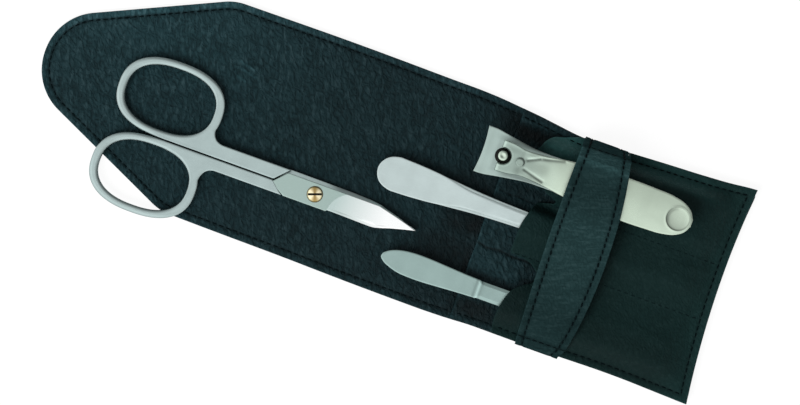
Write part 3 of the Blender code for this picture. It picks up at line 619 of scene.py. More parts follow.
def plain(name, colour, rough, specular=0.3):
    """A simple finish with a little unevenness."""
    n = Finish(name)
    cloud = n.noise(n.place(), 0.6 * MM, 3)
    return n.finish(
        Base_Color=n.mix(cloud, tuple(c * 0.75 for c in colour), colour), Specular_IOR_Level=specular,
        Roughness=n.span(cloud, 0.2, 0.8, rough + 0.06, rough - 0.06),
        Normal=n.bump(cloud, 0.02 * MM, 0.5),
    )


def blade_finish(name, boss, start, mirror, centre, radius, fade):
    """Satin boss and polished blade, parted by the round start of the hollow grind."""
    n = Finish(name)
    x, y = n.local(centre)
    back = n.math("MINIMUM", x, 0.0)
    reach = n.math("SQRT", n.math("ADD", n.math("MULTIPLY", back, back), n.math("MULTIPLY", y, y)))
    polished = n.span(reach, radius + 0.08 * MM, radius - 0.08 * MM)
    lines = n.noise(n.place(0.0, (0.12, 1.0, 1.0)), 0.12 * MM, 2)
    # The polished blade brightens from start to mirror towards the tip: a painted reflection.
    shine = n.mix(n.span(x, -radius * 0.8, fade), start, mirror)
    ground = n.mix(n.span(lines, 0.3, 0.7), tuple(c * 0.94 for c in boss), boss)
    colour = n.mix(polished, ground, shine)
    return n.finish(
        Base_Color=n.mix(n.tone(), (0.0, 0.0, 0.0), colour), Metallic=1.0,
        Roughness=n.math("MULTIPLY_ADD", polished, -0.22, 0.38),
        Normal=n.bump(lines, 0.01 * MM, 0.2),
    )


def turned_brass(name, centre, head):
    """A turned screw head with a painted reflection, bright to the left and right and dark above and below,
    and a dark rim, a painted shadow.
    """
    n = Finish(name)
    x, y = n.local(centre, IMAGE_TURN)
    across, upright = n.math("MULTIPLY", x, x), n.math("MULTIPLY", y, y)
    reach = n.math("ADD", across, upright)
    side = n.math("DIVIDE", across, n.math("ADD", reach, (0.35 * MM) ** 2))
    body = n.mix(n.span(side, 0.0, 0.6), (0.36, 0.25, 0.09), (1.0, 0.90, 0.60))
    rim = n.span(n.math("SQRT", reach), head - 0.32 * MM, head - 0.16 * MM)
    return n.finish(
        Base_Color=n.mix(rim, body, (0.10, 0.075, 0.035)), Metallic=1.0, Roughness=0.24,
        Normal=n.bump(n.noise(n.place(), 0.3 * MM), 0.01 * MM, 0.4),
    )


# The case

def case_plan():
    points = []
    for node in ("flap_lining", "fold_lining", "back_lining"):
        points += plan_outline(node)
    points.sort(key=lambda p: math.atan2(p.y, p.x))
    return Plan(curve_through(thinned(points, 0.4 * MM), EDGE_STEP))


def case_edge(x, y):
    """The distance of places from the case's edge, and their place along it."""
    return CASE.edge(np.stack([x, y], 1))


def groove_line(depth, inset=STITCH_INSET):
    """One along a row of stitches, and nothing away from it."""
    return bell(depth - inset, GROOVE_WIDTH)


def pulled(along):
    """A wave along a seam, with one period for each stitch."""
    return np.cos(2 * math.pi * along / STITCH_PITCH)


def edge_relief(x, y):
    """The stitched groove along the case's edge and the puckers beside it."""
    depth, along = case_edge(x, y)
    pucker = PUCKER * pulled(along) * bell(depth - PUCKER_INSET, PUCKER_WIDTH)
    return pucker - GROOVE_DEPTH * groove_line(depth)


CASE = case_plan()
COVER_LOW, COVER_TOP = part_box("back_cover")[0].z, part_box("back_cover")[1].z
LINING_LOW, LINING_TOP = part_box("back_lining")[0].z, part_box("back_lining")[1].z
PANEL_LOW, PANEL_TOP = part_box("inner_panel")[0].z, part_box("inner_panel")[1].z
FOLD_MIDDLE = (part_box("fold_lining")[0].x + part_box("fold_lining")[1].x) / 2
FOLD_HALF = 9.0 * MM

# Creases in the flap's lining, in millimetres: x, y, x, y, height
FLAP_CREASES = (
    (-48.0, 16.1, -43.4, 15.0, 0.16), (-47.0, 14.2, -43.0, 13.2, 0.14), (-47.5, 12.0, -44.8, 11.2, 0.12),
    (-26.0, 27.0, -12.0, 24.5, 0.06), (-22.0, 23.0, -9.0, 21.0, 0.05), (-33.0, 26.0, -24.0, 21.5, 0.05),
    (-61.0, 24.0, -54.0, 21.0, 0.06),
)
# Painted shade on the lining in front of the pockets, where the tools and the panel's edge shade it: x, y,
# half width, half height, gain
MOUTH_PAINTED_SHADOWS = (
    (26, -4.5, 8, 4, -0.56), (23, -13.5, 10, 4.6, -0.54), (28.6, -3.5, 2.0, 4, -0.50),
    (29.5, -20, 0.9, 9, -0.55), (26, 7.3, 7, 3, -0.42), (28, 25, 4.5, 4, -0.30), (24, -27.5, 9, 3.5, -0.25),
    (27, 0, 9, 40, -0.10), (29.3, 15, 0.9, 7, -0.40),
)


def edge_tone(y, depth):
    """Darker along the stitched groove, lighter between it and the edge and at the very edge; the strip is
    lighter along the top side, a painted light, with the lower edge in painted shade.
    """
    strip = (0.22 + 0.46 * smooth(y / (12 * MM))) * smooth((1.75 * MM - depth) / (0.35 * MM))
    return (1 - 0.42 * groove_line(depth)) * (1 + strip + 0.4 * bell(depth, 0.3 * MM))


# Painted light: lighter towards the left end and the top, a painted highlight on the first creases, light
# and shade painted on the puckers by the stitches, and the painted shade in front of the pockets.
def lining_tone(x, y, depth):
    along = smooth((-x / MM - 5) / 75)
    upper = smooth((y / MM + 5) / 30)
    lower = smooth((-y / MM - 5) / 20)
    broad = (0.86 + 0.62 * along * (0.62 + 0.90 * upper)) * (1 - 0.1 * lower)
    painted_sheen = 1 + 4.5 * strokes(x, y, FLAP_CREASES[:3], 0.35 * MM)
    pucker = 1 + 0.16 * pulled(case_edge(x, y)[1]) * bell(depth - 1.2 * MM, 0.6 * MM)
    return broad * painted_sheen * spots(x, y, MOUTH_PAINTED_SHADOWS) * edge_tone(y, depth) * pucker


def lining_top(x, y, depth):
    waves = 0.10 * MM * ripples(x, y, 16 * MM, 3.1, 1.6)
    waves += 0.05 * MM * ripples(x, y, 5 * MM, 8.4, 2.2, IMAGE_TURN)
    calm = smooth((depth - 2.5 * MM) / (3 * MM))
    creases = MM * strokes(x, y, FLAP_CREASES, 0.5 * MM)
    return LINING_TOP - rolled(depth, RIM_ROLL, 0.3 * MM) + edge_relief(x, y) + (waves + creases) * calm


def lining_bottom(x, y, depth):
    raised = smooth((depth - STITCH_INSET - 0.4 * MM) / (BOARD_INSET - STITCH_INSET))
    low = COVER_TOP + 0.03 * MM
    return low + (LINING_LOW - low) * raised + rolled(depth, 0.2 * MM, 0.15 * MM)


def cover_top(x, y, depth):
    return COVER_TOP - rolled(depth, 0.3 * MM, 0.25 * MM)


def cover_bottom(x, y, depth):
    along = case_edge(x, y)[1]
    pucker = 0.03 * MM * (1 + pulled(along)) * bell(depth - PUCKER_INSET, PUCKER_WIDTH)
    return COVER_LOW + rolled(depth, RIM_ROLL, 0.3 * MM) + 0.2 * MM * groove_line(depth) + pucker


def follow_fold(obj):
    start = (FOLD_MIDDLE + FOLD_HALF, 0, 0)
    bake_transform(obj, "case", "flap", start=start, end=(FOLD_MIDDLE - FOLD_HALF, 0, 0))


def make_case(outer, inner, board):
    creases = beside(FLAP_CREASES[:3], (-0.5, -0.25, 0, 0.25, 0.5), 0.4)
    lining = relief(
        "case_lining", CASE, LEATHER_STEP, RIM_DEPTHS, lining_top, lining_bottom, inner, creases,
        lining_tone,
    )
    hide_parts("back_lining", "fold_lining", "flap_lining")
    follow_fold(lining)
    cover = relief("case_cover", CASE, LEATHER_STEP * 1.2, RIM_DEPTHS, cover_top, cover_bottom, outer)
    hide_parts("back_cover", "fold_cover", "flap_cover")
    follow_fold(cover)
    for node in ("back_board", "flap_board"):
        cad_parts[node].data.materials.clear()
        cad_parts[node].data.materials.append(board)


# Pocket panels

INNER_LEFT_WAVE = 0.25 * MM
# Folds, seams and painted light of the inner panel between the pockets, in millimetres: painted shadows
# under the tools and a painted highlight along its top fold
PANEL_FOLDS = (
    (30.8, 26.6, 45.5, 27.6, 0.45), (31.0, 8.6, 39.0, 8.2, 0.20), (33.0, -6.0, 40.0, -5.6, 0.15),
    (32.0, -12.6, 44.0, -13.2, 0.20), (31.5, 10.0, 38.0, 9.4, 0.12),
)
PANEL_SEAMS = (
    (30.6, -8.7, 33.5, -9.4, 1), (33.5, -9.4, 37.0, -8.9, 1), (37.0, -8.9, 41.0, -9.5, 1),
    (41.0, -9.5, 45.0, -9.3, 1), (45.0, -9.3, 50.0, -10.0, 1),
    (31.5, 7.0, 34.5, 6.5, 0.7), (34.5, 6.5, 37.0, 6.9, 0.7), (37.0, 6.9, 41.5, 6.4, 0.7),
)
PANEL_PAINTED_LIGHT = (
    (36, 27.5, 8, 0.8, 0.9), (35.5, 24.0, 6.5, 2.0, -0.68), (36.5, 8.7, 7, 2.2, -0.42),
    (35, 5.2, 6, 0.8, -0.35), (37, -12.6, 7, 3.2, 0.25), (37, -17.3, 8, 0.9, -0.55),
    (46.5, -13, 2.2, 5, -0.30), (36, -26.6, 7, 2.9, -0.72), (34, -4.5, 4, 3.6, 0.12),
    (46, 8.2, 4, 1.6, -0.35),
)


def inner_panel_plan():
    outline = []
    for point in curve_through(thinned(plan_outline("inner_panel"), 0.3 * MM), EDGE_STEP):
        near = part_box("inner_panel")[0].x + 0.4 * MM - point.x
        if near > 0:
            point.x += INNER_LEFT_WAVE * noise.noise(Vector((point.y / (6 * MM), 5.0, 0)))
        outline.append(point)
    return Plan(outline)


def inner_panel_top(x, y, depth):
    folds = MM * strokes(x, y, PANEL_FOLDS, 0.9 * MM)
    waves = 0.05 * MM * ripples(x, y, 4 * MM, 12.2, 0.6)
    seams = 0.28 * MM * np.minimum(strokes(x, y, PANEL_SEAMS, 0.4 * MM), 1)
    open_part = smooth((46 * MM - x) / (3 * MM))
    calm = smooth((depth - 0.5 * MM) / MM)
    rise = (folds + waves) * open_part * calm - seams
    return PANEL_TOP - rolled(depth, RIM_ROLL, 0.3 * MM) + edge_relief(x, y) + rise


def inner_panel_bottom(x, y, depth):
    return PANEL_LOW + rolled(depth, 0.3 * MM, 0.2 * MM)


# Dark seams and a darker stitched groove, with painted light: a painted highlight along the panel's raised
# left edge and patches of painted shadow and highlight.
def inner_panel_tone(x, y, depth):
    seams = 1 - 0.72 * np.minimum(strokes(x, y, PANEL_SEAMS, 0.32 * MM), 1)
    to_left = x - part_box("inner_panel")[0].x
    edge = 1 + 0.55 * bell(to_left - 0.2 * MM, 0.4 * MM)
    stitched = 1 - 0.38 * groove_line(case_edge(x, y)[0])
    return 0.92 * seams * edge * spots(x, y, PANEL_PAINTED_LIGHT) * stitched


class PocketFront:
    """The pocket front's heights: its CAD solid, softened, with the leather tight right of the strap."""

    STEP = 0.5 * MM

    def __init__(self):
        skin = Surface("front_panel")
        self.plan = Plan(curve_through(thinned(plan_outline("front_panel"), 0.25 * MM), EDGE_STEP))
        margin = 2 * MM
        self.xs = np.arange(skin.low.x - margin, skin.high.x + margin, self.STEP)
        self.ys = np.arange(skin.low.y - margin, skin.high.y + margin, self.STEP)
        heights = np.full((len(self.xs), len(self.ys)), np.nan)
        for i, x in enumerate(self.xs):
            for k, y in enumerate(self.ys):
                heights[i, k] = skin.top(x, y) or np.nan
        heights = self.filled(heights)
        fine = self.blurred(heights, 0.6 * MM)
        wide = fine
        for _ in range(5):
            wide = np.maximum(wide, self.blurred(wide, 3.2 * MM))
        wide = self.blurred(wide, 1.5 * MM)
        gx, gy = np.meshgrid(self.xs, self.ys, indexing="ij")
        places = np.stack([gx.ravel(), gy.ravel()], 1)
        depth = np.where(CASE.inside(places), CASE.edge(places)[0], 0).reshape(gx.shape)
        tight = smooth((gx - 52 * MM) / (8 * MM)) * smooth((depth - 3 * MM) / (5 * MM))
        self.heights = fine + tight * np.maximum(wide - fine, 0)

    def filled(self, heights):
        """Places off the panel take the height of the nearest place on it."""
        tree = kdtree.KDTree(int(np.isfinite(heights).sum()))
        known = []
        for i, k in np.argwhere(np.isfinite(heights)):
            tree.insert((i, k, 0), len(known))
            known.append(heights[i, k])
        tree.balance()
        for i, k in np.argwhere(np.isnan(heights)):
            heights[i, k] = known[tree.find((i, k, 0))[1]]
        return heights

    def blurred(self, heights, size):
        reach = int(3 * size / self.STEP)
        weights = np.exp(-0.5 * (np.arange(-reach, reach + 1) * self.STEP / size) ** 2)
        weights /= weights.sum()
        for _ in range(2):
            padded = np.pad(heights, ((reach, reach), (0, 0)), mode="edge")
            heights = sum(w * padded[i:i + len(heights)] for i, w in enumerate(weights)).T
        return heights

    def base(self, x, y):
        i = np.clip((x - self.xs[0]) / self.STEP, 0, len(self.xs) - 1.001)
        k = np.clip((y - self.ys[0]) / self.STEP, 0, len(self.ys) - 1.001)
        a, b = i.astype(int), k.astype(int)
        s, t = i - a, k - b
        h = self.heights
        near = h[a, b] * (1 - s) + h[a + 1, b] * s
        far = h[a, b + 1] * (1 - s) + h[a + 1, b + 1] * s
        return near * (1 - t) + far * t


# Soft folds of the pocket front, in millimetres: x, y, x, y, height
FRONT_FOLDS = (
    (50.0, 8.5, 56.0, 12.0, 0.12), (50.5, 5.0, 58.0, 2.0, -0.08), (49.5, -10.5, 57.0, -14.0, 0.10),
    (70.0, 8.0, 88.0, 10.5, 0.10), (72.0, -10.5, 90.0, -13.0, 0.10), (68.0, -20.0, 88.0, -22.0, 0.08),
)
FRONT_THICKNESS = 0.8 * MM
# Painted light and shade on the pocket front: x, y, half width, half height, gain
FRONT_PAINTED_LIGHT = (
    (45, 24.2, 6.5, 4.0, 5.6), (75, 26.5, 14, 3.0, 2.2), (80, -24, 18, 6, -0.22), (45, -22, 4.5, 8, -0.40),
    (72, 5, 9, 5, -0.05), (68, -12, 5, 18, -0.10),
)


# Painted light: lighter towards the right edge, a painted highlight along the rim that is strongest at the
# right edge, and patches of painted light and shade; darker along the stitched groove.
def front_tone(x, y, depth):
    seam = groove_line(case_edge(x, y)[0]) * smooth((x - 48 * MM) / (2 * MM))
    right = 1 + 0.50 * smooth((x - 86 * MM) / (12 * MM))
    painted_sheen = 1 + (0.35 + 0.5 * smooth((x - 90 * MM) / (4 * MM))) * bell(depth, 0.3 * MM)
    return (1 - 0.35 * seam) * right * painted_sheen * spots(x, y, FRONT_PAINTED_LIGHT)


def front_top(pocket):
    def top(x, y, depth):
        waves = 0.12 * MM * ripples(x, y, 14 * MM, 21.7, 1.0) + 0.04 * MM * ripples(x, y, 4 * MM, 2.9)
        folds = MM * strokes(x, y, FRONT_FOLDS, 1.3 * MM)
        calm = smooth((depth - 0.6 * MM) / (2 * MM))
        rim = rolled(depth, RIM_ROLL, 0.34 * MM)
        return pocket.base(x, y) - rim + edge_relief(x, y) + (waves + folds) * calm
    return top


def front_bottom(pocket):
    def bottom(x, y, depth):
        return pocket.base(x, y) - FRONT_THICKNESS + rolled(depth, 0.3 * MM, 0.25 * MM)
    return bottom


def make_panels(outer, front_leather):
    plan = inner_panel_plan()
    rows = beside(PANEL_SEAMS, (-0.7, -0.4, -0.2, 0, 0.2, 0.4, 0.7), 0.4)
    seams = [row[plan.inside(row)] for row in rows]
    inner = relief(
        "inner_pocket_panel", plan, LEATHER_STEP, RIM_DEPTHS, inner_panel_top, inner_panel_bottom, outer,
        seams, inner_panel_tone,
    )
    dress(inner, "inner_panel", "case")
    pocket = PocketFront()
    front = relief(
        "pocket_front", pocket.plan, LEATHER_STEP, RIM_DEPTHS, front_top(pocket), front_bottom(pocket),
        front_leather, tone=front_tone,
    )
    dress(front, "front_panel", "case")
    return inner, front


# Strap

STRAP_STITCH_INSET = 2.0 * MM
STRAP_FACE_THICKNESS = 0.8 * MM
STRAP_BACK_THICKNESS = 0.72 * MM
STRAP_REACH = (-0.5 * MM, 0.4 * MM)  # how far its ends go past those of the CAD strap
STRAP_DEPTHS = mm(0, 0.06, 0.2, 0.45, 0.9, 1.4, 1.75, 2.0, 2.25, 2.6, 3.2, 4.2, 5.4)


def section_path(node, x, upper):
    """The upper or lower run of a CAD strap's section at x, as (y, z) from one end to the other."""
    mesh = bmesh.new()
    mesh.from_mesh(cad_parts[node].data)
    bmesh.ops.remove_doubles(mesh, verts=mesh.verts, dist=0.001 * MM)
    cut = bmesh.ops.bisect_plane(
        mesh, geom=mesh.verts[:] + mesh.edges[:] + mesh.faces[:], plane_co=(x, 0, 0), plane_no=(1, 0, 0)
    )
    edges = [e for e in cut["geom_cut"] if isinstance(e, bmesh.types.BMEdge)]
    links = {}
    for edge in edges:
        a, b = edge.verts
        links.setdefault(a, []).append(b)
        links.setdefault(b, []).append(a)
    start = min(links, key=lambda v: (v.co.y, v.co.z))
    loop, before, here = [start], None, start
    while True:
        after = [v for v in links[here] if v is not before]
        before, here = here, after[0]
        if here is start:
            break
        loop.append(here)
    places = [(v.co.y, v.co.z) for v in loop]
    mesh.free()
    far = max(range(len(places)), key=lambda i: places[i][0])
    runs = places[1:far], places[:far - 1:-1]
    runs = [run for run in runs if len(run) > 2]
    pick = max if upper else min
    chosen = pick(runs, key=lambda run: np.interp(0, *zip(*sorted(run))))
    return chosen if chosen[0][0] < chosen[-1][0] else chosen[::-1]


def strap_sides(node):
    """Left and right edges of the strap as two (y, x) tables."""
    points, _ = node_faces(node)
    middle = sum(p.x for p in points) / len(points)
    left = sorted((p.y, p.x) for p in points if p.x < middle - 3 * MM)
    right = sorted((p.y, p.x) for p in points if p.x > middle + 3 * MM)
    return left, right, middle


def strap_frames(node, upper):
    """Points along the strap with the direction that its face looks in."""
    left, right, middle = strap_sides(node)
    path = [Vector((y, z)) for y, z in section_path(node, middle, upper)]
    path = curve_through(path, 0.6 * MM, closed=False, corner=math.pi)
    frames = []
    for i, here in enumerate(path):
        ahead = (path[min(i + 2, len(path) - 1)] - path[max(i - 2, 0)]).normalized()
        normal = Vector((-ahead.y, ahead.x))
        x0 = np.interp(here.x, *zip(*left))
        x1 = np.interp(here.x, *zip(*right))
        frames.append((here, normal, x0, x1))
    return frames


def strap_sheet(name, frames, thickness, material, lift):
    """A sheet along the strap. lift(inset, run) is the relief of its upper side."""
    upper, lower, rims = [], [], []
    run = 0
    for i, (here, normal, x0, x1) in enumerate(frames):
        if i:
            run += (here - frames[i - 1][0]).length
        to_end = min(run, sum((frames[k + 1][0] - frames[k][0]).length for k in range(i, len(frames) - 1)))
        insets = STRAP_DEPTHS
        across = [x0 + d for d in insets] + [x1 - d for d in insets[::-1]]
        depths = insets + insets[::-1]
        row_up, row_low = [], []
        for x, depth in zip(across, depths):
            end_fall = float(rolled(min(depth, max(to_end, 0)), RIM_ROLL, thickness * 0.45))
            up = lift(x, depth, run) - end_fall
            down = -thickness + float(rolled(min(depth, to_end), 0.25 * MM, thickness * 0.3))
            row_up.append((x, here.x + normal.x * up, here.y + normal.y * up))
            row_low.append((x, here.x + normal.x * down, here.y + normal.y * down))
        upper.append(row_up)
        lower.append(row_low)
        rims += depths
    rows, columns = len(upper), len(upper[0])
    base = rows * columns
    points = [p for row in upper for p in row] + [p for row in lower for p in row]
    faces = []
    for i in range(rows - 1):
        for j in range(columns - 1):
            quad = (i * columns + j, (i + 1) * columns + j, (i + 1) * columns + j + 1, i * columns + j + 1)
            faces += [quad, tuple(base + k for k in quad[::-1])]
    ring = [(0, j) for j in range(columns)] + [(i, columns - 1) for i in range(1, rows)]
    ring += [(rows - 1, j) for j in range(columns - 2, -1, -1)] + [(i, 0) for i in range(rows - 2, 0, -1)]
    ring = [i * columns + j for i, j in ring]
    faces += [(a, b, base + b, base + a) for a, b in zip(ring, ring[1:] + ring[:1])]
    obj = closed_mesh(name, points, faces, material)
    x, y = np.array([p[:2] for row in upper for p in row]).T
    shade = strap_tone(x, y, np.array(rims))
    set_points(obj, "tone", np.concatenate([shade, shade]))
    return obj


# Broad painted light and shade of the strap from end to end, for the slopes it takes: y in millimetres and
# gain
STRAP_PAINTED_LIGHT = (
    (-33, 0.80), (-27, 0.68), (-21, 0.68), (-14, 0.90), (-6, 1.0), (4, 1.0), (10, 0.86), (17, 0.76),
    (21, 1.05), (24, 2.1), (25.5, 1.9), (27, 1.05), (32, 0.9),
)


# Painted light along the strap, lighter at its very edge, darker at its stitched grooves and where the
# case's seam crosses it.
def strap_tone(x, y, depth):
    broad = 1.13 * np.interp(y / MM, *zip(*STRAP_PAINTED_LIGHT))
    stitched = 1 - 0.42 * groove_line(depth, STRAP_STITCH_INSET)
    rim = 1 + 0.30 * bell(depth, 0.35 * MM) - 0.08 * smooth((2.0 * MM - depth) / MM)
    seam = 1 - 0.45 * bell(case_edge(x, y)[0] - STITCH_INSET, 0.45 * MM)
    return broad * stitched * rim * seam


def strap_lift(x, depth, run):
    """The stitched groove, the puckers beside it and small creases across the strap."""
    groove = -0.26 * MM * groove_line(depth, STRAP_STITCH_INSET)
    pucker = 0.04 * MM * pulled(run) * bell(depth - 1.1 * MM, 0.7 * MM)
    creases = 0.07 * MM * noise.noise(Vector((x / (9 * MM), run / (2.2 * MM), 1.7)))
    return groove + pucker + creases * min(depth / (3 * MM), 1)


def make_strap(face_leather, lining_leather):
    frames = strap_frames("strap_face", True)
    for index, reach in ((0, STRAP_REACH[0]), (-1, STRAP_REACH[1])):
        here, normal, x0, x1 = frames[index]
        end = (here + Vector((reach, 0)), normal, x0, x1)
        frames.insert(0 if index == 0 else len(frames), end)
    face = strap_sheet("strap_band", frames, STRAP_FACE_THICKNESS, face_leather, strap_lift)
    dress(face, "strap_face", "case")
    under = [
        (here - normal * (STRAP_FACE_THICKNESS + 0.05 * MM), normal, x0 + 0.15 * MM, x1 - 0.15 * MM)
        for here, normal, x0, x1 in frames
    ]
    back = strap_sheet("strap_back", under, STRAP_BACK_THICKNESS, lining_leather, lambda x, depth, run: 0.0)
    dress(back, "strap_lining", "case")
    return frames


# Stitches

def stitch_mesh(name, stitches, radius, material):
    """Stitches of twisted thread: each is (start, end, up), sunk at both ends."""
    points, faces = [], []
    sides, rings = 8, 9
    for start, end, up in stitches:
        ahead = (end - start).normalized()
        side = ahead.cross(up).normalized()
        first = len(points)
        for i in range(rings):
            share = i / (rings - 1)
            t = 2 * share - 1
            twist = 1 + 0.1 * math.cos(share * 5 * math.pi)
            width = radius * math.sqrt(max(1 - abs(t) ** 5, 0.02)) * twist
            middle = start.lerp(end, share) + up * (radius * (0.75 * (1 - t * t) - 0.55))
            for k in range(sides):
                a = 2 * math.pi * k / sides
                points.append(middle + side * (width * math.cos(a)) + up * (width * math.sin(a)))
        for i in range(rings - 1):
            for k in range(sides):
                m = (k + 1) % sides
                faces.append((
                    first + i * sides + k, first + i * sides + m,
                    first + (i + 1) * sides + m, first + (i + 1) * sides + k,
                ))
        faces.append(tuple(first + k for k in range(sides)))
        faces.append(tuple(first + (rings - 1) * sides + k for k in range(sides)))
    return closed_mesh(name, points, faces, material)


def along_path(path, pitch, length):
    """Pairs of places (start, end) of stitches spaced evenly along a path."""
    gaps = [0]
    for a, b in zip(path, path[1:]):
        gaps.append(gaps[-1] + (b - a).length)
    count = max(1, round(gaps[-1] / pitch))
    pitch = gaps[-1] / count
    places = np.array([tuple(p) for p in path])
    pairs = []
    for k in range(count):
        ends = []
        for place in (k * pitch + (pitch - length) / 2, k * pitch + (pitch + length) / 2):
            ends.append(Vector([np.interp(place, gaps, row) for row in places.T]))
        pairs.append(tuple(ends))
    return pairs


ABOVE_ALL = 100 * MM


def probe(objects):
    """A function that finds the highest of some objects' skins at (x, y)."""
    trees = []
    for obj in objects:
        mesh = obj.data
        points = [v.co.copy() for v in mesh.vertices]
        trees.append(BVHTree.FromPolygons(points, [tuple(p.vertices) for p in mesh.polygons]))

    def highest(x, y):
        best = None
        for tree in trees:
            hit = tree.ray_cast(Vector((x, y, ABOVE_ALL)), DOWN)[0]
            if hit and (best is None or hit.z > best):
                best = hit.z
        return best
    return highest


def edge_path(depth):
    loop = CASE.loops[0]
    ahead = np.roll(loop, -1, axis=0) - np.roll(loop, 1, axis=0)
    inward = np.stack([-ahead[:, 1], ahead[:, 0]], 1)
    inward /= np.hypot(*inward.T)[:, None]
    places = loop + inward * depth
    kept = CASE.edge(places)[0] > depth * 0.98
    return [Vector(p) for p in places[kept]]


def make_edge_stitching(thread, surfaces):
    """Two rows round the case, one above and one below, parted where the case folds."""
    highest = probe(surfaces)
    path = edge_path(STITCH_INSET)
    path.append(path[0])
    above, below = [], []
    sunk = Vector((0, 0, COVER_LOW + STITCH_RADIUS))
    for start, end in along_path(path, STITCH_PITCH, STITCH_LENGTH):
        ends = [Vector((*p, highest(p.x, p.y) + 0.02 * MM)) for p in (start, end)]
        if abs(ends[0].z - ends[1].z) < STITCH_STEP:
            above.append((*ends, UP))
        below.append((start.to_3d() + sunk, end.to_3d() + sunk, DOWN))
    border = FOLD_MIDDLE + FOLD_HALF + 2 * MM
    for name, rows in (("edge_stitching_upper", above), ("edge_stitching_under", below)):
        fixed = [row for row in rows if row[0].x > border]
        moving = [row for row in rows if row[0].x <= border]
        pockets = stitch_mesh(name + "_pockets", fixed, STITCH_RADIUS, thread)
        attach(pockets, "case")
        flap = stitch_mesh(name + "_flap", moving, STITCH_RADIUS, thread)
        follow_fold(flap)


def make_slot_seams(thread, surfaces):
    highest = probe(surfaces)
    sunk = 0.06 * MM
    for node in ("slot_seam_upper", "slot_seam_lower"):
        low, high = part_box(node)
        y = (low.y + high.y) / 2
        path = [Vector((x, y)) for x in np.linspace(low.x, high.x, 60)]
        rows = []
        for pair in along_path(path, STITCH_PITCH, STITCH_LENGTH):
            rows.append((*(Vector((*p, highest(p.x, p.y) - sunk)) for p in pair), UP))
        seam = stitch_mesh(node + "_stitches", rows, STITCH_RADIUS, thread)
        dress(seam, node, "case")


def make_strap_stitching(thread, frames):
    """Slanting stitches along both sides of the strap."""
    rows = []
    slant = Vector((0.17 * MM, 0, 0))
    for right in (False, True):
        path, ups = [], []
        for here, normal, x0, x1 in frames:
            x = x1 - STRAP_STITCH_INSET if right else x0 + STRAP_STITCH_INSET
            sunk = here - normal * (0.22 * MM)
            path.append(Vector((x, sunk.x, sunk.y)))
            ups.append(Vector((0, normal.x, normal.y)))
        for start, end in along_path(path, STITCH_PITCH, STITCH_LENGTH):
            nearest = min(range(len(path)), key=lambda i: (path[i] - (start + end) / 2).length)
            rows.append((start + slant, end - slant, ups[nearest]))
    seam = stitch_mesh("strap_stitching", rows, STITCH_RADIUS * 1.35, thread)
    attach(seam, "case")


def make_thread_end(painted_highlight, highest):
    """The cut end of the thread at the strap's corner, light in colour: a painted highlight."""
    places = [Vector((x * MM, y * MM)) for x, y in ((61.5, 27.6), (61.9, 28.6))]
    ends = [Vector((*p, (highest(p.x, p.y) or LINING_TOP) + 0.12 * MM)) for p in places]
    end = stitch_mesh("strap_thread_end", [(*ends, UP)], 0.2 * MM, painted_highlight)
    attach(end, "case")


# Metal pieces

def chamfered(depth, width, drop):
    return drop * np.clip(1 - depth / width, 0, 1)


def ring_outline(half, start, end, count):
    """Part of a finger ring's squared oval, in the pivot's frame."""
    power = 2 / RING_SQUARENESS
    points = []
    for k in range(count + 1):
        angle = start + (end - start) * k / count
        c, s = math.cos(angle), math.sin(angle)
        x = half[0] * math.copysign(abs(c) ** power, c)
        y = half[1] * math.copysign(abs(s) ** power, s)
        points.append((x - RING_BACK, y + RING_SIDE))
    return points


def bezier(a, b, c, count):
    points = []
    for k in range(count):
        t = k / count
        points.append(tuple(a[i] * (1 - t) ** 2 + 2 * b[i] * t * (1 - t) + c[i] * t * t for i in (0, 1)))
    return points


def resampled(points, step):
    """The same closed polygon with a point about every step, its corners kept."""
    places = []
    for a, b in zip(points, points[1:] + points[:1]):
        a, b = Vector(a), Vector(b)
        pieces = max(1, round((b - a).length / step))
        places += [a.lerp(b, k / pieces) for k in range(pieces)]
    return places


def scissor_half_plan(side, step):
    """Shank and ring in one, on the upper side (1) or the lower side (-1)."""
    breadth = SHANK_UPPER if side > 0 else SHANK_LOWER
    nose = NOSE_UPPER if side > 0 else NOSE_LOWER
    ring = ring_outline(RING_OUTER, math.radians(-16), math.radians(268), 220)
    join = (-RING_BACK + RING_OUTER[0] - 0.1 * MM, breadth)
    shoulder = (join[0] + 3.4 * MM, breadth)
    outline = [(-NOSE, SPLIT), (-nose, breadth)]
    outline += bezier(shoulder, join, ring[0], 12)
    outline += ring
    outline.append((-RING_BACK + 1.5 * MM, SPLIT))
    hole = ring_outline(RING_INNER, 0, 2 * math.pi, 220)[:-1][::-1]
    loops = []
    for loop in (outline, hole):
        loop = [(PIVOT[0] + x, PIVOT[1] + side * y) for x, y in loop]
        if side < 0:
            loop = loop[::-1]
        loops.append(resampled(thinned([Vector(p) for p in loop], 0.05 * MM), step))
    return Plan(*loops)


# Width and drop of the rounded edges
SHANK_BEVEL = (0.32 * MM, 0.26 * MM)
RING_BEVEL = (0.95 * MM, 0.85 * MM)


def shank_relief(high, side):
    """Round wire at the ring, flat with a narrow bevel along the shank."""
    def top(x, y, depth):
        local = x - PIVOT[0]
        aside = (y - PIVOT[1]) * side
        ring = smooth((-30 * MM - local) / (9 * MM))
        near_split = smooth((1.2 * MM - aside) / (0.8 * MM)) * smooth((local + 50 * MM) / (6 * MM))
        ring = ring * (1 - near_split)
        width = SHANK_BEVEL[0] + (RING_BEVEL[0] - SHANK_BEVEL[0]) * ring
        drop = SHANK_BEVEL[1] + (RING_BEVEL[1] - SHANK_BEVEL[1]) * ring
        return high - rolled(depth, width, drop)
    return top


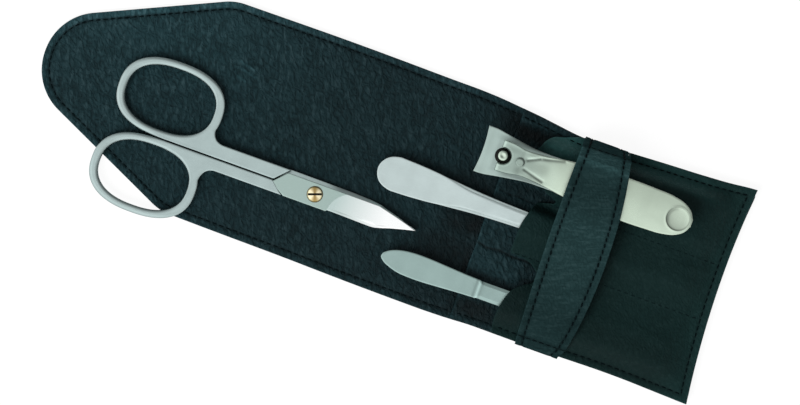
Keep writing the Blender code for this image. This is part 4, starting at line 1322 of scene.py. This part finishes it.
# Painted light and shade on each scissor half: a dark outline at the edge; on the rings, darker rounded
# edges, a thin painted highlight and a dark line along the wire.
def shank_tone(x, y, depth):
    ring = smooth((-46 * MM - x) / (4 * MM))
    wire = 0.05 * bell(depth - 1.2 * MM, 0.25 * MM) - 0.14 * smooth((0.75 * MM - depth) / (0.35 * MM))
    return 1 - 0.14 * bell(depth, 0.16 * MM) + ring * (wire - 0.06 * bell(depth - 0.85 * MM, 0.14 * MM))


def mirrored(top, low, high):
    def bottom(x, y, depth):
        return low + (high - top(x, y, depth))
    return bottom


# The blades' backs from tip to heel, in millimetres from the pivot
FRONT_SPINE = (
    (26.6, -0.82), (23.1, -1.75), (20.4, -2.6), (18.6, -3.12), (17.4, -3.25), (14.9, -3.22), (10.6, -3.12),
    (5.4, -3.0), (4.6, -3.02), (4.2, -3.4), (-2.0, -3.4),
)
REAR_SPINE = (
    (26.9, -0.95), (23.7, -1.9), (21.5, -2.5), (20.1, -2.85), (18.2, -3.45), (15.0, -3.8), (10.0, -4.0),
    (0.0, -4.1), (-8.7, -4.15),
)


# Their cutting edges from the knee to the tip: share of BLADE_REACH, of EDGE_SIDE
EDGE_SHARES = ((0.605, 0.97), (0.68, 0.80), (0.80, 0.52), (0.91, 0.24))


def blade_outline(front):
    """The blade and its boss, in the pivot's frame, edge side up for the front blade."""
    back = SHANK_LOWER if front else SHANK_UPPER
    edge = [(reach * BLADE_REACH, side * EDGE_SIDE) for reach, side in EDGE_SHARES]
    edge.append((BLADE_REACH, -0.1 * MM))
    spine = [(x * MM, y * MM) for x, y in (FRONT_SPINE if front else REAR_SPINE)]
    if front:
        heel = [
            (-NOSE_LOWER + 0.4 * MM, -back), (-NOSE - 0.4 * MM, -SPLIT - 0.6 * MM),
            (-NOSE + 0.3 * MM, -SPLIT), (-8.8 * MM, EDGE_SIDE),
        ]
    else:
        heel = [
            (-NOSE_UPPER - 2.5 * MM, -back + 0.5 * MM), (-NOSE + 1.5 * MM, -SPLIT - 0.2 * MM),
            (-8.7 * MM, EDGE_SIDE),
        ]
    outline = heel + edge + spine
    side = 1 if front else -1
    placed = [(PIVOT[0] + x, PIVOT[1] + side * y) for x, y in outline]
    return placed[::-1] if front else placed


# A painted shadow along the gap between the upper shank's nose and the boss
SPLIT_SHADOW_LINE = (
    (-28.6, -11.7, -27.9, -11.5, 1), (-27.9, -11.5, -26.7, -9.9, 1), (-26.7, -9.9, -25.0, -8.0, 1),
)


def blade_relief(front, high, low):
    """A hollow bevel along the front blade's back, a thin edge on the other side."""
    def top(x, y, depth):
        local = x - PIVOT[0]
        aside = y - PIVOT[1]
        if front:
            grown = smooth((local - 5 * MM) / (11 * MM)) * smooth((21.5 * MM - local) / (4 * MM))
            width = 0.14 * MM + 0.75 * MM * grown
            lower = smooth((-aside - 0.2 * MM) / (0.5 * MM))
            width = 0.12 * MM + (width - 0.12 * MM) * lower
            return high - chamfered(depth, width, np.minimum(width * 0.55, 0.4 * MM))
        upper = smooth((aside - 0.5 * MM) / (0.8 * MM))
        width = 0.12 * MM + 1.0 * MM * upper
        slope = 0.12 + 0.50 * smooth((local - 2 * MM) / (6 * MM))
        return high - chamfered(depth, width, width * slope)

    def bottom(x, y, depth):
        return low + chamfered(depth, 0.15 * MM, 0.1 * MM)

    # Painted shade: the rear blade's back strip darker, the front blade's facet darker and a dark outline at
    # the edge.
    def tone(x, y, depth):
        local, aside = x - PIVOT[0], y - PIVOT[1]
        if not front:
            gap = np.minimum(strokes(x, y, SPLIT_SHADOW_LINE, 0.4 * MM), 1)
            return (1 - 0.12 * smooth((0.5 * MM - depth) / (0.3 * MM))) * (1 - 0.85 * gap)
        facet = smooth((local - 5 * MM) / (4 * MM)) * smooth((-aside - 0.5 * MM) / (0.5 * MM))
        facet = facet * smooth((22 * MM - local) / (3 * MM)) * smooth((0.85 * MM - depth) / (0.1 * MM))
        return (1 - 0.28 * facet) * (1 - 0.15 * bell(depth, 0.12 * MM))
    return top, bottom, tone


def joined(name, objects):
    """Several meshes as one piece."""
    bm = bmesh.new()
    for obj in objects:
        bm.from_mesh(obj.data)
    mesh = bpy.data.meshes.new(name)
    for obj in objects:
        for material in obj.data.materials:
            mesh.materials.append(material)
    first = 0
    starts = []
    for obj in objects:
        starts.append(first)
        first += len(obj.data.polygons)
    bm.to_mesh(mesh)
    bm.free()
    for index, start in enumerate(starts):
        end = starts[index + 1] if index + 1 < len(starts) else len(mesh.polygons)
        for k in range(start, end):
            mesh.polygons[k].material_index = index
    mesh.shade_smooth()
    result = new_object(name, mesh)
    for obj in objects:
        bpy.data.objects.remove(obj)
    return result


def make_scissors(satin, polished, brass, painted_shade):
    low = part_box("scissor_blade_front")[0].z
    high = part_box("scissor_blade_front")[1].z
    half_depths = mm(0.03, 0.1, 0.2, 0.32, 0.5, 0.7, 0.9, 1.02)
    plate_depths = mm(0.1, 0.15, 0.3, 0.5, 0.74, 0.84, 0.92)
    middle = low + 1.3 * MM
    for node, body, side in (
        ("scissor_blade_back", "scissors_rear", 1), ("scissor_blade_front", "scissors", -1),
    ):
        front = side < 0
        plan = scissor_half_plan(side, 0.35 * MM)
        top = shank_relief(high, side)
        shank = relief(
            node + "_shank", plan, 0.6 * MM, half_depths, top, mirrored(top, low, high), satin,
            tone=shank_tone,
        )
        outline = resampled(blade_outline(front), 0.3 * MM)
        if front:
            blade_low, blade_high = middle + 0.1 * MM, high - 0.05 * MM
        else:
            blade_low, blade_high = low + 0.05 * MM, middle
        top, bottom, tone = blade_relief(front, blade_high, blade_low)
        plate = relief(
            node + "_plate", Plan(outline), 0.5 * MM, plate_depths, top, bottom,
            polished if front else satin, tone=tone,
        )
        dress(joined(node + "_steel", [shank, plate]), node, body)
    make_screw(brass, painted_shade, high)


def lathe(name, x, y, profile, material, sides=48):
    """A turned piece: profile is (radius, height) from the foot's middle to the top's middle."""
    points, faces = [], []
    rings = [(r, z) for r, z in profile if r > 0]
    for r, z in rings:
        for k in range(sides):
            a = 2 * math.pi * k / sides
            points.append((x + r * math.cos(a), y + r * math.sin(a), z))
    for i in range(len(rings) - 1):
        for k in range(sides):
            m = (k + 1) % sides
            faces.append((i * sides + k, i * sides + m, (i + 1) * sides + m, (i + 1) * sides + k))
    for index, z in ((0, profile[0][1]), (len(rings) - 1, profile[-1][1])):
        points.append((x, y, z))
        centre = len(points) - 1
        for k in range(sides):
            faces.append((index * sides + k, index * sides + (k + 1) % sides, centre))
    return closed_mesh(name, points, faces, material)


def carved(obj, cutter):
    """obj with the cutter's volume taken out, the cut faces in the cutter's material."""
    modifier = obj.modifiers.new("cut", "BOOLEAN")
    modifier.operation = "DIFFERENCE"
    modifier.object = cutter
    modifier.material_mode = "TRANSFER"
    bpy.context.view_layer.update()
    mesh = bpy.data.meshes.new_from_object(obj.evaluated_get(bpy.context.evaluated_depsgraph_get()))
    obj.modifiers.clear()
    old, obj.data = obj.data, mesh
    bpy.data.meshes.remove(old)
    bpy.data.objects.remove(cutter)
    obj.data.set_sharp_from_angle(angle=math.radians(32))
    return obj


def block(name, centre, size, turn, material):
    """A turned box, for cutting slots."""
    bm = bmesh.new()
    bmesh.ops.create_cube(bm, size=1)
    matrix = Matrix.Translation(centre) @ Matrix.Rotation(turn, 4, "Z") @ Matrix.Diagonal((*size, 1))
    bmesh.ops.transform(bm, matrix=matrix, verts=bm.verts)
    mesh = bpy.data.meshes.new(name)
    bm.to_mesh(mesh)
    bm.free()
    mesh.materials.append(material)
    return new_object(name, mesh)


SCREW_HEAD = 2.28 * MM


def make_screw(brass, painted_shade, high):
    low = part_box("scissor_screw")[0].z
    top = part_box("scissor_screw")[1].z
    seat = high + 0.02 * MM
    radius = SCREW_HEAD
    profile = [
        (0, low), (0.9 * MM, low), (1.0 * MM, low + 0.1 * MM), (1.0 * MM, seat), (radius - 0.05 * MM, seat),
        (radius, seat + 0.05 * MM), (radius - 0.02 * MM, seat + 0.12 * MM),
        (radius - 0.26 * MM, seat + 0.22 * MM),
        (radius - 0.40 * MM, seat + 0.44 * MM), (radius - 0.62 * MM, seat + 0.50 * MM),
        (1.1 * MM, top - 0.05 * MM), (0.6 * MM, top - 0.01 * MM), (0, top),
    ]
    screw = lathe("scissor_pivot_screw", *PIVOT, profile, brass, 64)
    # The slot's cut faces take the black of painted shade.
    cutter = block("screw_slot", (*PIVOT, top), (3.9 * MM, 0.62 * MM, 0.6 * MM), IMAGE_TURN, painted_shade)
    dress(carved(screw, cutter), "scissor_screw", "scissors")


BAR_STEP = 0.35 * MM


def bar_plan(node):
    return Plan(curve_through(thinned(plan_outline(node), 0.25 * MM), BAR_STEP))


class Bar:
    """A flat steel bar: its middle line, and its heights along x at a line beside that."""

    def __init__(self, node, aside=0.0):
        low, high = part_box(node)
        self.y = (low.y + high.y) / 2
        self.x, self.low, self.high = Surface(node).line(self.y + aside)

    def top(self, x):
        return np.interp(x, self.x, self.high)

    def ground_under(self, x, y, depth):
        """Its underside with a small chamfer."""
        return np.interp(x, self.x, self.low) + chamfered(depth, 0.15 * MM, 0.1 * MM)

    def pressed_under(self, x, y, depth):
        """Its underside with a rounded edge."""
        return np.interp(x, self.x, self.low) + rolled(depth, 0.2 * MM, 0.12 * MM)


def arm_relief(bar, growth):
    """A tweezer arm's top and tone: its side chamfers grow towards the tip; the tone paints them lighter on
    one side and darker on the other, with a dark outline at the edge, as painted light and shade.
    """
    def chamfer(x):
        return 0.16 * MM + growth * np.clip((x - 15 * MM) / (22 * MM), 0, 1)

    def top(x, y, depth):
        width = chamfer(x)
        return bar.top(x) - chamfered(depth, width, width * 0.32)

    def tone(x, y, depth):
        strip = smooth((chamfer(x) - depth) / (0.08 * MM)) * smooth((x - 17 * MM) / (6 * MM))
        return 1 + np.where(y > bar.y, 0.10, -0.20) * strip - 0.15 * bell(depth, 0.1 * MM)
    return top, tone


def make_tweezers(satin):
    depths = mm(0.05, 0.12, 0.17, 0.4, 0.68, 0.78, 0.86)
    for node, body, growth in (
        ("tweezer_arm_back", "tweezers", 0.1 * MM), ("tweezer_arm_front", "tweezers_front", 0.5 * MM),
    ):
        bar = Bar(node)
        top, tone = arm_relief(bar, growth)
        arm = relief(
            node + "_steel", bar_plan(node), 0.7 * MM, depths, top, bar.ground_under, satin, tone=tone
        )
        dress(arm, node, body)


# Where the file's handle steps down to its filing part, and the outline of its rounded end in millimetres
FILE_STEP = 35.2 * MM
FILE_NOSE = (
    (12.6, -17.85), (10.1, -18.45), (7.9, -19.55), (6.85, -20.6), (6.75, -21.5), (7.7, -22.5),
    (10.0, -23.55), (12.8, -24.25),
)


def make_file(satin):
    node = "nail_file"
    bar = Bar(node)
    outline = thinned([p for p in plan_outline(node) if p.x > 14.5 * MM], 0.25 * MM)
    gaps = [(a - b).length * (a.x < 20 * MM) for a, b in zip(outline, outline[-1:] + outline)]
    turn = gaps.index(max(gaps))
    nose = [Vector((a * MM, b * MM)) for a, b in FILE_NOSE]
    plan = Plan(curve_through(outline[turn:] + outline[:turn] + nose, BAR_STEP))

    def chamfer(x):
        return 0.2 * MM + 0.65 * MM * smooth((x - 34.6 * MM) / (1.4 * MM))

    def top(x, y, depth):
        width = chamfer(x)
        ridge = 0.22 * MM * bell(x - FILE_STEP, 0.55 * MM)
        return bar.top(x) + ridge - chamfered(depth, width, width * 0.42)

    # Painted light: the chamfers lighter on the upper side and darker on the lower, a painted highlight on
    # the step's ridge with a darker line on its handle side, and a dark outline.
    def tone(x, y, depth):
        strip = smooth((chamfer(x) - depth) / (0.08 * MM)) * smooth((x - 34.8 * MM) / MM)
        sides = np.where(y > bar.y, 0.30, -0.12)
        step = 1 + 0.62 * bell(x - FILE_STEP, 0.40 * MM) - 0.12 * bell(x - FILE_STEP + 1.0 * MM, 0.4 * MM)
        return step * (1 + sides * strip) - 0.12 * bell(depth, 0.1 * MM)

    ridge = [
        np.array([(FILE_STEP + d * MM, bar.y + k * 0.3 * MM) for k in range(-9, 10)])
        for d in (-1.5, -1.2, -0.9, -0.6, -0.3, 0, 0.3, 0.6, 0.9)
    ]
    inside = [row[plan.inside(row)] for row in ridge]
    depths = mm(0.05, 0.12, 0.2, 0.4, 0.76, 0.86, 0.95)
    piece = relief("nail_file_steel", plan, 0.7 * MM, depths, top, bar.ground_under, satin, inside, tone)
    dress(piece, node, "file")


def make_leaves(nickel):
    depths = mm(0.03, 0.09, 0.17, 0.26, 0.5)
    for node, body in (("clipper_lower_leaf", "clipper"), ("clipper_upper_leaf", "clipper_upper")):
        bar = Bar(node, 3.0 * MM)

        def top(x, y, depth, bar=bar):
            return bar.top(x) - rolled(depth, 0.25 * MM, 0.2 * MM)

        leaf = relief(
            node + "_steel", bar_plan(node), 0.5 * MM, depths, top, bar.pressed_under, nickel, tone=leaf_tone
        )
        dress(leaf, node, body)


# Painted shadows on the upper leaf round the lever: x, y, half width, half height, gain
LEAF_PAINTED_SHADOWS = ((33.5, 20.7, 6.0, 0.9, -0.62), (34, 11.6, 6.5, 0.5, -0.25), (27.4, 15.8, 0.9, 4.6, -0.22))


# Painted light and shade on the leaves: darker overall, a painted highlight along the jaw, the painted
# shadows round the lever and a dark outline at the edge.
def leaf_tone(x, y, depth):
    jaw = 1 + 0.25 * bell(x - 23.3 * MM, 0.7 * MM)
    return 0.76 * jaw * spots(x, y, LEAF_PAINTED_SHADOWS) * (1 - 0.2 * bell(depth, 0.12 * MM))


# The lever's creases (x, y, x, y, depth), painted light and shade, bump, dish and pin, mostly in millimetres
LEVER_CREASES = (
    (35.8, 17.0, 39.0, 18.5, 1.0), (39.7, 18.7, 45.5, 20.2, 0.7), (35.6, 14.3, 41.5, 12.7, 0.9),
)
LEVER_PAINTED_LIGHT = (
    (38.5, 15.8, 3.8, 1.5, -0.20), (45, 15.0, 3.5, 3.6, 0.14), (32.3, 19.4, 5, 0.6, 0.15),
    (38.5, 19.2, 3.2, 0.9, -0.28), (39.0, 12.4, 3.0, 0.8, -0.30), (31.3, 18.6, 2.0, 1.0, -0.15),
    (34.5, 13.2, 1.6, 1.0, -0.18),
)
LEVER_BUMP = (33.9, 15.7)
LEVER_DISH = (79.9, 15.8)
DISH_RADIUS = 3.2
DISH_DEPTH = 0.42 * MM
PIN = [(low + high) / 2 for low, high in zip(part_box("clipper_pin")[0].xy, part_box("clipper_pin")[1].xy)]
PIN_GAP = 2.3 * MM


def notched(outline, centre, radius):
    """An anticlockwise outline with a round notch cut into it."""
    kept = [p for p in outline if math.dist(p, centre) > radius]
    jump = max(range(len(kept)), key=lambda i: (kept[i] - kept[i - 1]).length)
    kept = kept[jump:] + kept[:jump]
    start, end = (math.atan2(p.y - centre[1], p.x - centre[0]) for p in (kept[-1], kept[0]))
    sweep = (start - end) % (2 * math.pi)
    arc = [
        Vector((centre[0] + radius * math.cos(start - sweep * k / 40),
                centre[1] + radius * math.sin(start - sweep * k / 40))) for k in range(1, 40)
    ]
    return kept + arc


def lever_plan():
    outline = curve_through(thinned(plan_outline("clipper_lever"), 0.2 * MM), 0.35 * MM)
    return Plan(notched(outline, PIN, PIN_GAP))


def lever_tone(x, y, depth):
    """Painted light and shade on the lever: dark creases with lighter sides, the bump, the dish's outline
    and crescent, a highlight on the fork, dark edges, shade by the strap and a soft gradient along it.
    """
    creases = strokes(x, y, LEVER_CREASES, 0.28 * MM)
    beside_creases = [
        (x0, y0 + 0.5 * side, x1, y1 + 0.5 * side, height)
        for (x0, y0, x1, y1, height), side in zip(LEVER_CREASES, (1, 1, -1))
    ]
    lifted = strokes(x, y, beside_creases, 0.3 * MM)
    bump_gap = np.hypot(x / MM - LEVER_BUMP[0], y / MM - LEVER_BUMP[1])
    bump = 1 - 0.42 * bell(bump_gap - 1.2, 0.28) + 0.2 * bell(bump_gap, 0.5)
    dx, dy = x / MM - LEVER_DISH[0], y / MM - LEVER_DISH[1]
    dish_gap = np.hypot(dx, dy)
    toward = (-dx * 0.95 + dy * 0.31) / np.maximum(dish_gap, 0.1)
    outline = 1 - 0.5 * bell(dish_gap - DISH_RADIUS, 0.16)
    crescent = 1 - 0.38 * smooth((toward - 0.3) / 0.6) * bell(dish_gap - 2.75, 0.45)
    inside = 1 - 0.07 * smooth((DISH_RADIUS - dish_gap) / 0.3)
    fork = 1 + 0.42 * bell(x - 28.4 * MM, 0.35 * MM) * smooth((31 * MM - x) / MM)
    left = (1 - 0.12 * smooth((40 * MM - x) / (8 * MM))) * spots(x, y, LEVER_PAINTED_LIGHT)
    open_part = smooth((50 * MM - x) / (4 * MM))
    edge = 1 - (0.22 + 0.30 * open_part) * bell(depth, 0.16 * MM)
    edge += 0.16 * open_part * bell(depth - 0.55 * MM, 0.16 * MM)
    under_strap = 1 - 0.10 * bell(x - 49 * MM, 1.5 * MM)
    pressed = (1 - 0.58 * creases) * (1 + 0.28 * lifted) * bump * outline * crescent * inside
    return pressed * fork * left * edge * under_strap


def make_lever(nickel):
    node = "clipper_lever"
    bar = Bar(node, 3.6 * MM)
    plan = lever_plan()

    def top(x, y, depth):
        creases = -0.24 * MM * strokes(x, y, LEVER_CREASES, 0.4 * MM)
        bump_gap = np.hypot(x - LEVER_BUMP[0] * MM, y - LEVER_BUMP[1] * MM)
        bump = 0.35 * MM * (1 - smooth((bump_gap - 0.9 * MM) / (0.5 * MM)))
        dish_gap = np.hypot(x - LEVER_DISH[0] * MM, y - LEVER_DISH[1] * MM) / (DISH_RADIUS * MM)
        dish = -DISH_DEPTH * np.clip(1 - dish_gap ** 2, 0, 1) ** 0.6
        lip = 0.08 * MM * bell(dish_gap - 1.06, 0.07)
        bow = -0.35 * MM * ((y - bar.y) / (6 * MM)) ** 2 * smooth((x - 36 * MM) / (10 * MM))
        return bar.top(x) - rolled(depth, 0.32 * MM, 0.28 * MM) + creases + bump + dish + lip + bow

    fine = circles(*LEVER_DISH, (2.2, 2.5, 2.8, 3.0, 3.1, 3.2, 3.3, 3.4, 3.6), 0.3)
    fine += circles(*LEVER_BUMP, (0.3, 0.6, 0.85, 1.0, 1.1, 1.2, 1.3, 1.4, 1.6), 0.25)
    fine += beside(LEVER_CREASES, (-0.7, -0.45, -0.25, -0.1, 0, 0.1, 0.25, 0.45, 0.7), 0.3)
    fine = [row[plan.edge(row)[0] > 0.1 * MM] for row in fine]
    depths = mm(0.04, 0.12, 0.22, 0.33, 0.5)
    lever = relief(
        "clipper_lever_steel", plan, 0.4 * MM, depths, top, bar.pressed_under, nickel, fine, lever_tone
    )
    dress(lever, node, "lever")


def make_pin(nickel, painted_shade):
    """The pin with a thin black disc round its foot, a painted shadow, and the rivet at the leaves' tail."""
    low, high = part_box("clipper_pin")
    head = (high.x - low.x) / 2 - 0.15 * MM
    seat = Surface("clipper_upper_leaf").top(PIN[0] + 2 * MM, PIN[1]) + 0.03 * MM
    shadow_reach, face = PIN_GAP - 0.06 * MM, seat + 0.06 * MM
    stem = 1.0 * MM
    foot = [
        (0, low.z), (stem, low.z), (stem, seat), (shadow_reach, seat), (shadow_reach, face), (0.2 * MM, face),
        (0, face),
    ]
    profile = [
        (0, seat), (stem, seat), (stem, high.z - 0.9 * MM), (head, high.z - 0.6 * MM),
        (head, high.z - 0.25 * MM), (head - 0.12 * MM, high.z - 0.1 * MM), (head - 0.4 * MM, high.z),
        (0.55 * MM, high.z - 0.02 * MM), (0.35 * MM, high.z - 0.2 * MM), (0, high.z - 0.22 * MM),
    ]
    pieces = [lathe("pin_shadow_disc", *PIN, foot, painted_shade), lathe("pin_head", *PIN, profile, nickel)]
    dress(joined("clipper_pin_steel", pieces), "clipper_pin", "clipper")
    low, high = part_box("clipper_rivet")
    x, y = (low.x + high.x) / 2, (low.y + high.y) / 2
    cap = (high.x - low.x) / 2
    stem = 1.1 * MM
    under = high.z - 0.4 * MM
    profile = [
        (0, low.z), (stem - 0.1 * MM, low.z), (stem, low.z + 0.1 * MM), (stem, under),
        (cap - 0.05 * MM, under), (cap, under + 0.08 * MM), (cap * 0.85, high.z - 0.12 * MM),
        (cap * 0.5, high.z - 0.02 * MM), (0, high.z),
    ]
    dress(lathe("clipper_rivet_steel", x, y, profile, nickel), "clipper_rivet", "clipper")


# Studio

# What reflections see, from the studio's light side (0) to its dark side (1): place and brightness
REFLECTED = ((0.0, 1.0), (0.15, 1.0), (0.30, 0.98), (0.5, 0.72), (0.68, 0.42), (0.85, 0.2), (1.0, 0.15))
REFLECTED_STRENGTH = 1.4
FILL_STRENGTH = 0.26
FLOOR_GLOW = 0.92
FLOOR_SHADOW = 0.14
FLOOR_BOUNCE = 0.8
# Distance right and up in the photograph's directions, height, size and power
KEY_LAMP = (-0.52, -0.50, 1.05, 0.75, 14.3)


def make_world():
    """Soft white light. Reflections see a gradient, and the camera sees plain white."""
    world = bpy.data.worlds.new("studio")
    bpy.context.scene.world = world
    world.use_nodes = True
    n = Nodes(world.node_tree)
    rays = n.add("ShaderNodeLightPath").outputs
    right, up = image_axes()
    dark_side = (right * 0.75 + up * 0.66).normalized()
    terms = {0: n.add("ShaderNodeTexCoord").outputs["Generated"], 1: dark_side}
    toward = n.add("ShaderNodeVectorMath", terms, operation="DOT_PRODUCT").outputs["Value"]
    ramp = n.add("ShaderNodeValToRGB", {0: n.math("MULTIPLY_ADD", toward, 0.5, 0.5)})
    stops = ramp.color_ramp.elements
    stops.remove(stops[1])
    for place, value in REFLECTED:
        stop = stops.new(place) if place else stops[0]
        stop.position = place
        stop.color = neutral(value)
    glossy = n.add("ShaderNodeBackground", {"Color": ramp.outputs[0], "Strength": REFLECTED_STRENGTH})
    fill = n.tree.nodes["Background"]
    n.set(fill.inputs["Color"], neutral(1))
    n.set(fill.inputs["Strength"], FILL_STRENGTH)
    lit = n.add("ShaderNodeMixShader", {0: rays["Is Glossy Ray"], 1: fill.outputs[0], 2: glossy.outputs[0]})
    white = n.add("ShaderNodeBackground", {"Color": neutral(1)})
    seen = n.math("MAXIMUM", rays["Is Camera Ray"], rays["Is Transmission Ray"])
    shown = n.add("ShaderNodeMixShader", {0: seen, 1: lit.outputs[0], 2: white.outputs[0]})
    n.set(n.tree.nodes["World Output"].inputs["Surface"], shown.outputs[0])


def make_floor():
    """A white floor: it glows for the camera and for reflections, and keeps a faint shadow."""
    bm = bmesh.new()
    bmesh.ops.create_grid(bm, x_segments=1, y_segments=1, size=3.0)
    mesh = bpy.data.meshes.new("floor")
    bm.to_mesh(mesh)
    bm.free()
    floor = new_object("floor", mesh)
    floor.location.z = -0.05 * MM
    n = Finish("floor_white")
    rays = n.add("ShaderNodeLightPath").outputs
    glow = n.add("ShaderNodeEmission", {"Color": neutral(1), "Strength": FLOOR_GLOW})
    matt = n.add("ShaderNodeBsdfDiffuse", {"Color": neutral(FLOOR_SHADOW)})
    both = n.add("ShaderNodeAddShader", {0: glow.outputs[0], 1: matt.outputs[0]})
    dull = n.add("ShaderNodeBsdfDiffuse", {"Color": neutral(FLOOR_BOUNCE)})
    seen = n.math("MAXIMUM", rays["Is Camera Ray"], rays["Is Glossy Ray"])
    seen = n.math("MAXIMUM", seen, rays["Is Transmission Ray"])
    mixed = n.add("ShaderNodeMixShader", {0: seen, 1: dull.outputs[0], 2: both.outputs[0]})
    n.set(n.tree.nodes["Material Output"].inputs["Surface"], mixed.outputs[0])
    mesh.materials.append(n.material)


def make_lamp(name, aside, upward, height, size, power):
    """A soft square lamp, placed in the photograph's right and up directions."""
    right, up = image_axes()
    data = bpy.data.lights.new(name, "AREA")
    data.size = size
    data.energy = power
    lamp = new_object(name, data)
    lamp.location = right * aside + up * upward + Vector((0, 0, height))
    lamp.rotation_euler = lamp.location.to_track_quat("Z", "Y").to_euler()
    lamp.visible_glossy = False


def make_camera():
    data = bpy.data.cameras.new("camera")
    data.sensor_width = SENSOR
    data.lens = SENSOR * CAMERA_HEIGHT / VIEW_WIDTH
    camera = new_object("camera", data)
    camera.location = (*VIEW_CENTRE, CAMERA_HEIGHT + 2 * MM)
    camera.rotation_euler = (0, 0, IMAGE_TURN)
    bpy.context.scene.camera = camera


def leathers():
    """The leather of the cover and the inner panel, of the lining, the pocket front and the strap."""
    coarse = {"contrast": 1.1, "grain": 0.30 * MM, "size": 1.0 * MM, "cell": 1.5 * MM, "lie": (1.0, 0.30)}
    grained = leather("grained_leather", (0.0072, 0.0210, 0.0245), **coarse)
    lining = leather("lining_leather", (0.0076, 0.0218, 0.0255), **coarse)
    front = leather(
        "pocket_leather", (0.0050, 0.0166, 0.0160), contrast=0.35, grain=0.12 * MM, size=1.05 * MM,
        cell=1.0 * MM, lie=(1.0, 0.8), specular=0.09,
    )
    # The strap's leather is lighter than the case's, partly a painted light for the light that the raised
    # strap catches.
    strap = leather(
        "strap_leather", (0.0158, 0.0385, 0.0400), contrast=0.55, grain=0.15 * MM, size=1.05 * MM,
        cell=1.1 * MM, lie=(0.3, 1.2), veins=(0.22, 1.3), specular=0.0,
    )
    return grained, lining, front, strap


def make_leather_parts(board):
    """The case with its panels, strap and stitches."""
    grained, lining, front, strap = leathers()
    thread = plain("thread", (0.0022, 0.0055, 0.0065), 0.8, 0.04)
    soft_thread = plain("soft_thread", (0.0045, 0.0135, 0.0140), 0.8, 0.08)
    # A light thread colour for the thread's cut end: a painted highlight
    painted_highlight = plain("thread_end", (0.30, 0.36, 0.36), 0.7)
    make_case(grained, lining, board)
    surfaces = [bpy.data.objects["case_lining"], *make_panels(grained, front)]
    frames = make_strap(strap, lining)
    make_slot_seams(soft_thread, surfaces)
    surfaces.append(bpy.data.objects["strap_band"])
    make_edge_stitching(thread, surfaces)
    make_strap_stitching(thread, frames)
    make_thread_end(painted_highlight, probe(surfaces))


def make_tools():
    """Scissors, tweezers, file and clipper."""
    # Plain black for painted shade: the screw's slot and the disc under the clipper's pin.
    painted_shade = plain("painted_shade_black", (0.012, 0.013, 0.011), 0.6, 0.1)
    satin = steel("satin_steel", (0.43, 0.53, 0.525), 0.36)
    bright = steel("tweezer_steel", (0.56, 0.66, 0.655), 0.36)
    filed = steel("file_steel", (0.335, 0.46, 0.44), 0.36)
    polished = blade_finish(
        "polished_steel", (0.405, 0.53, 0.495), (0.505, 0.62, 0.60), (0.98, 1.0, 1.0),
        (-4.4 * MM, -15.2 * MM), 7.3 * MM, 9 * MM,
    )
    nickel = steel("nickel_plate", (0.52, 0.62, 0.52), 0.30, 0.12)
    # The leaves' and the lever's nickel are copies of the plate's: the leaves' darker and bluer, a painted
    # shade, and the lever's darker and bluer towards its left end, a painted reflection.
    leaf = steel("leaf_nickel", (0.43, 0.545, 0.51), 0.32, 0.12)
    lever = steel(
        "lever_nickel", (0.505, 0.605, 0.50), 0.30, 0.12, left=(0.40, 0.51, 0.455), span=mm(33, 47)
    )
    brass = turned_brass("brass_screw", PIVOT, SCREW_HEAD)
    make_scissors(satin, polished, brass, painted_shade)
    make_tweezers(bright)
    make_file(filed)
    make_leaves(leaf)
    make_lever(lever)
    make_pin(nickel, painted_shade)


def main():
    make_camera()
    make_world()
    make_floor()
    make_lamp("key", *KEY_LAMP)
    bpy.context.scene.view_settings.view_transform = "Standard"
    make_leather_parts(plain("fibre_board", (0.12, 0.11, 0.10), 0.85))
    make_tools()


main()
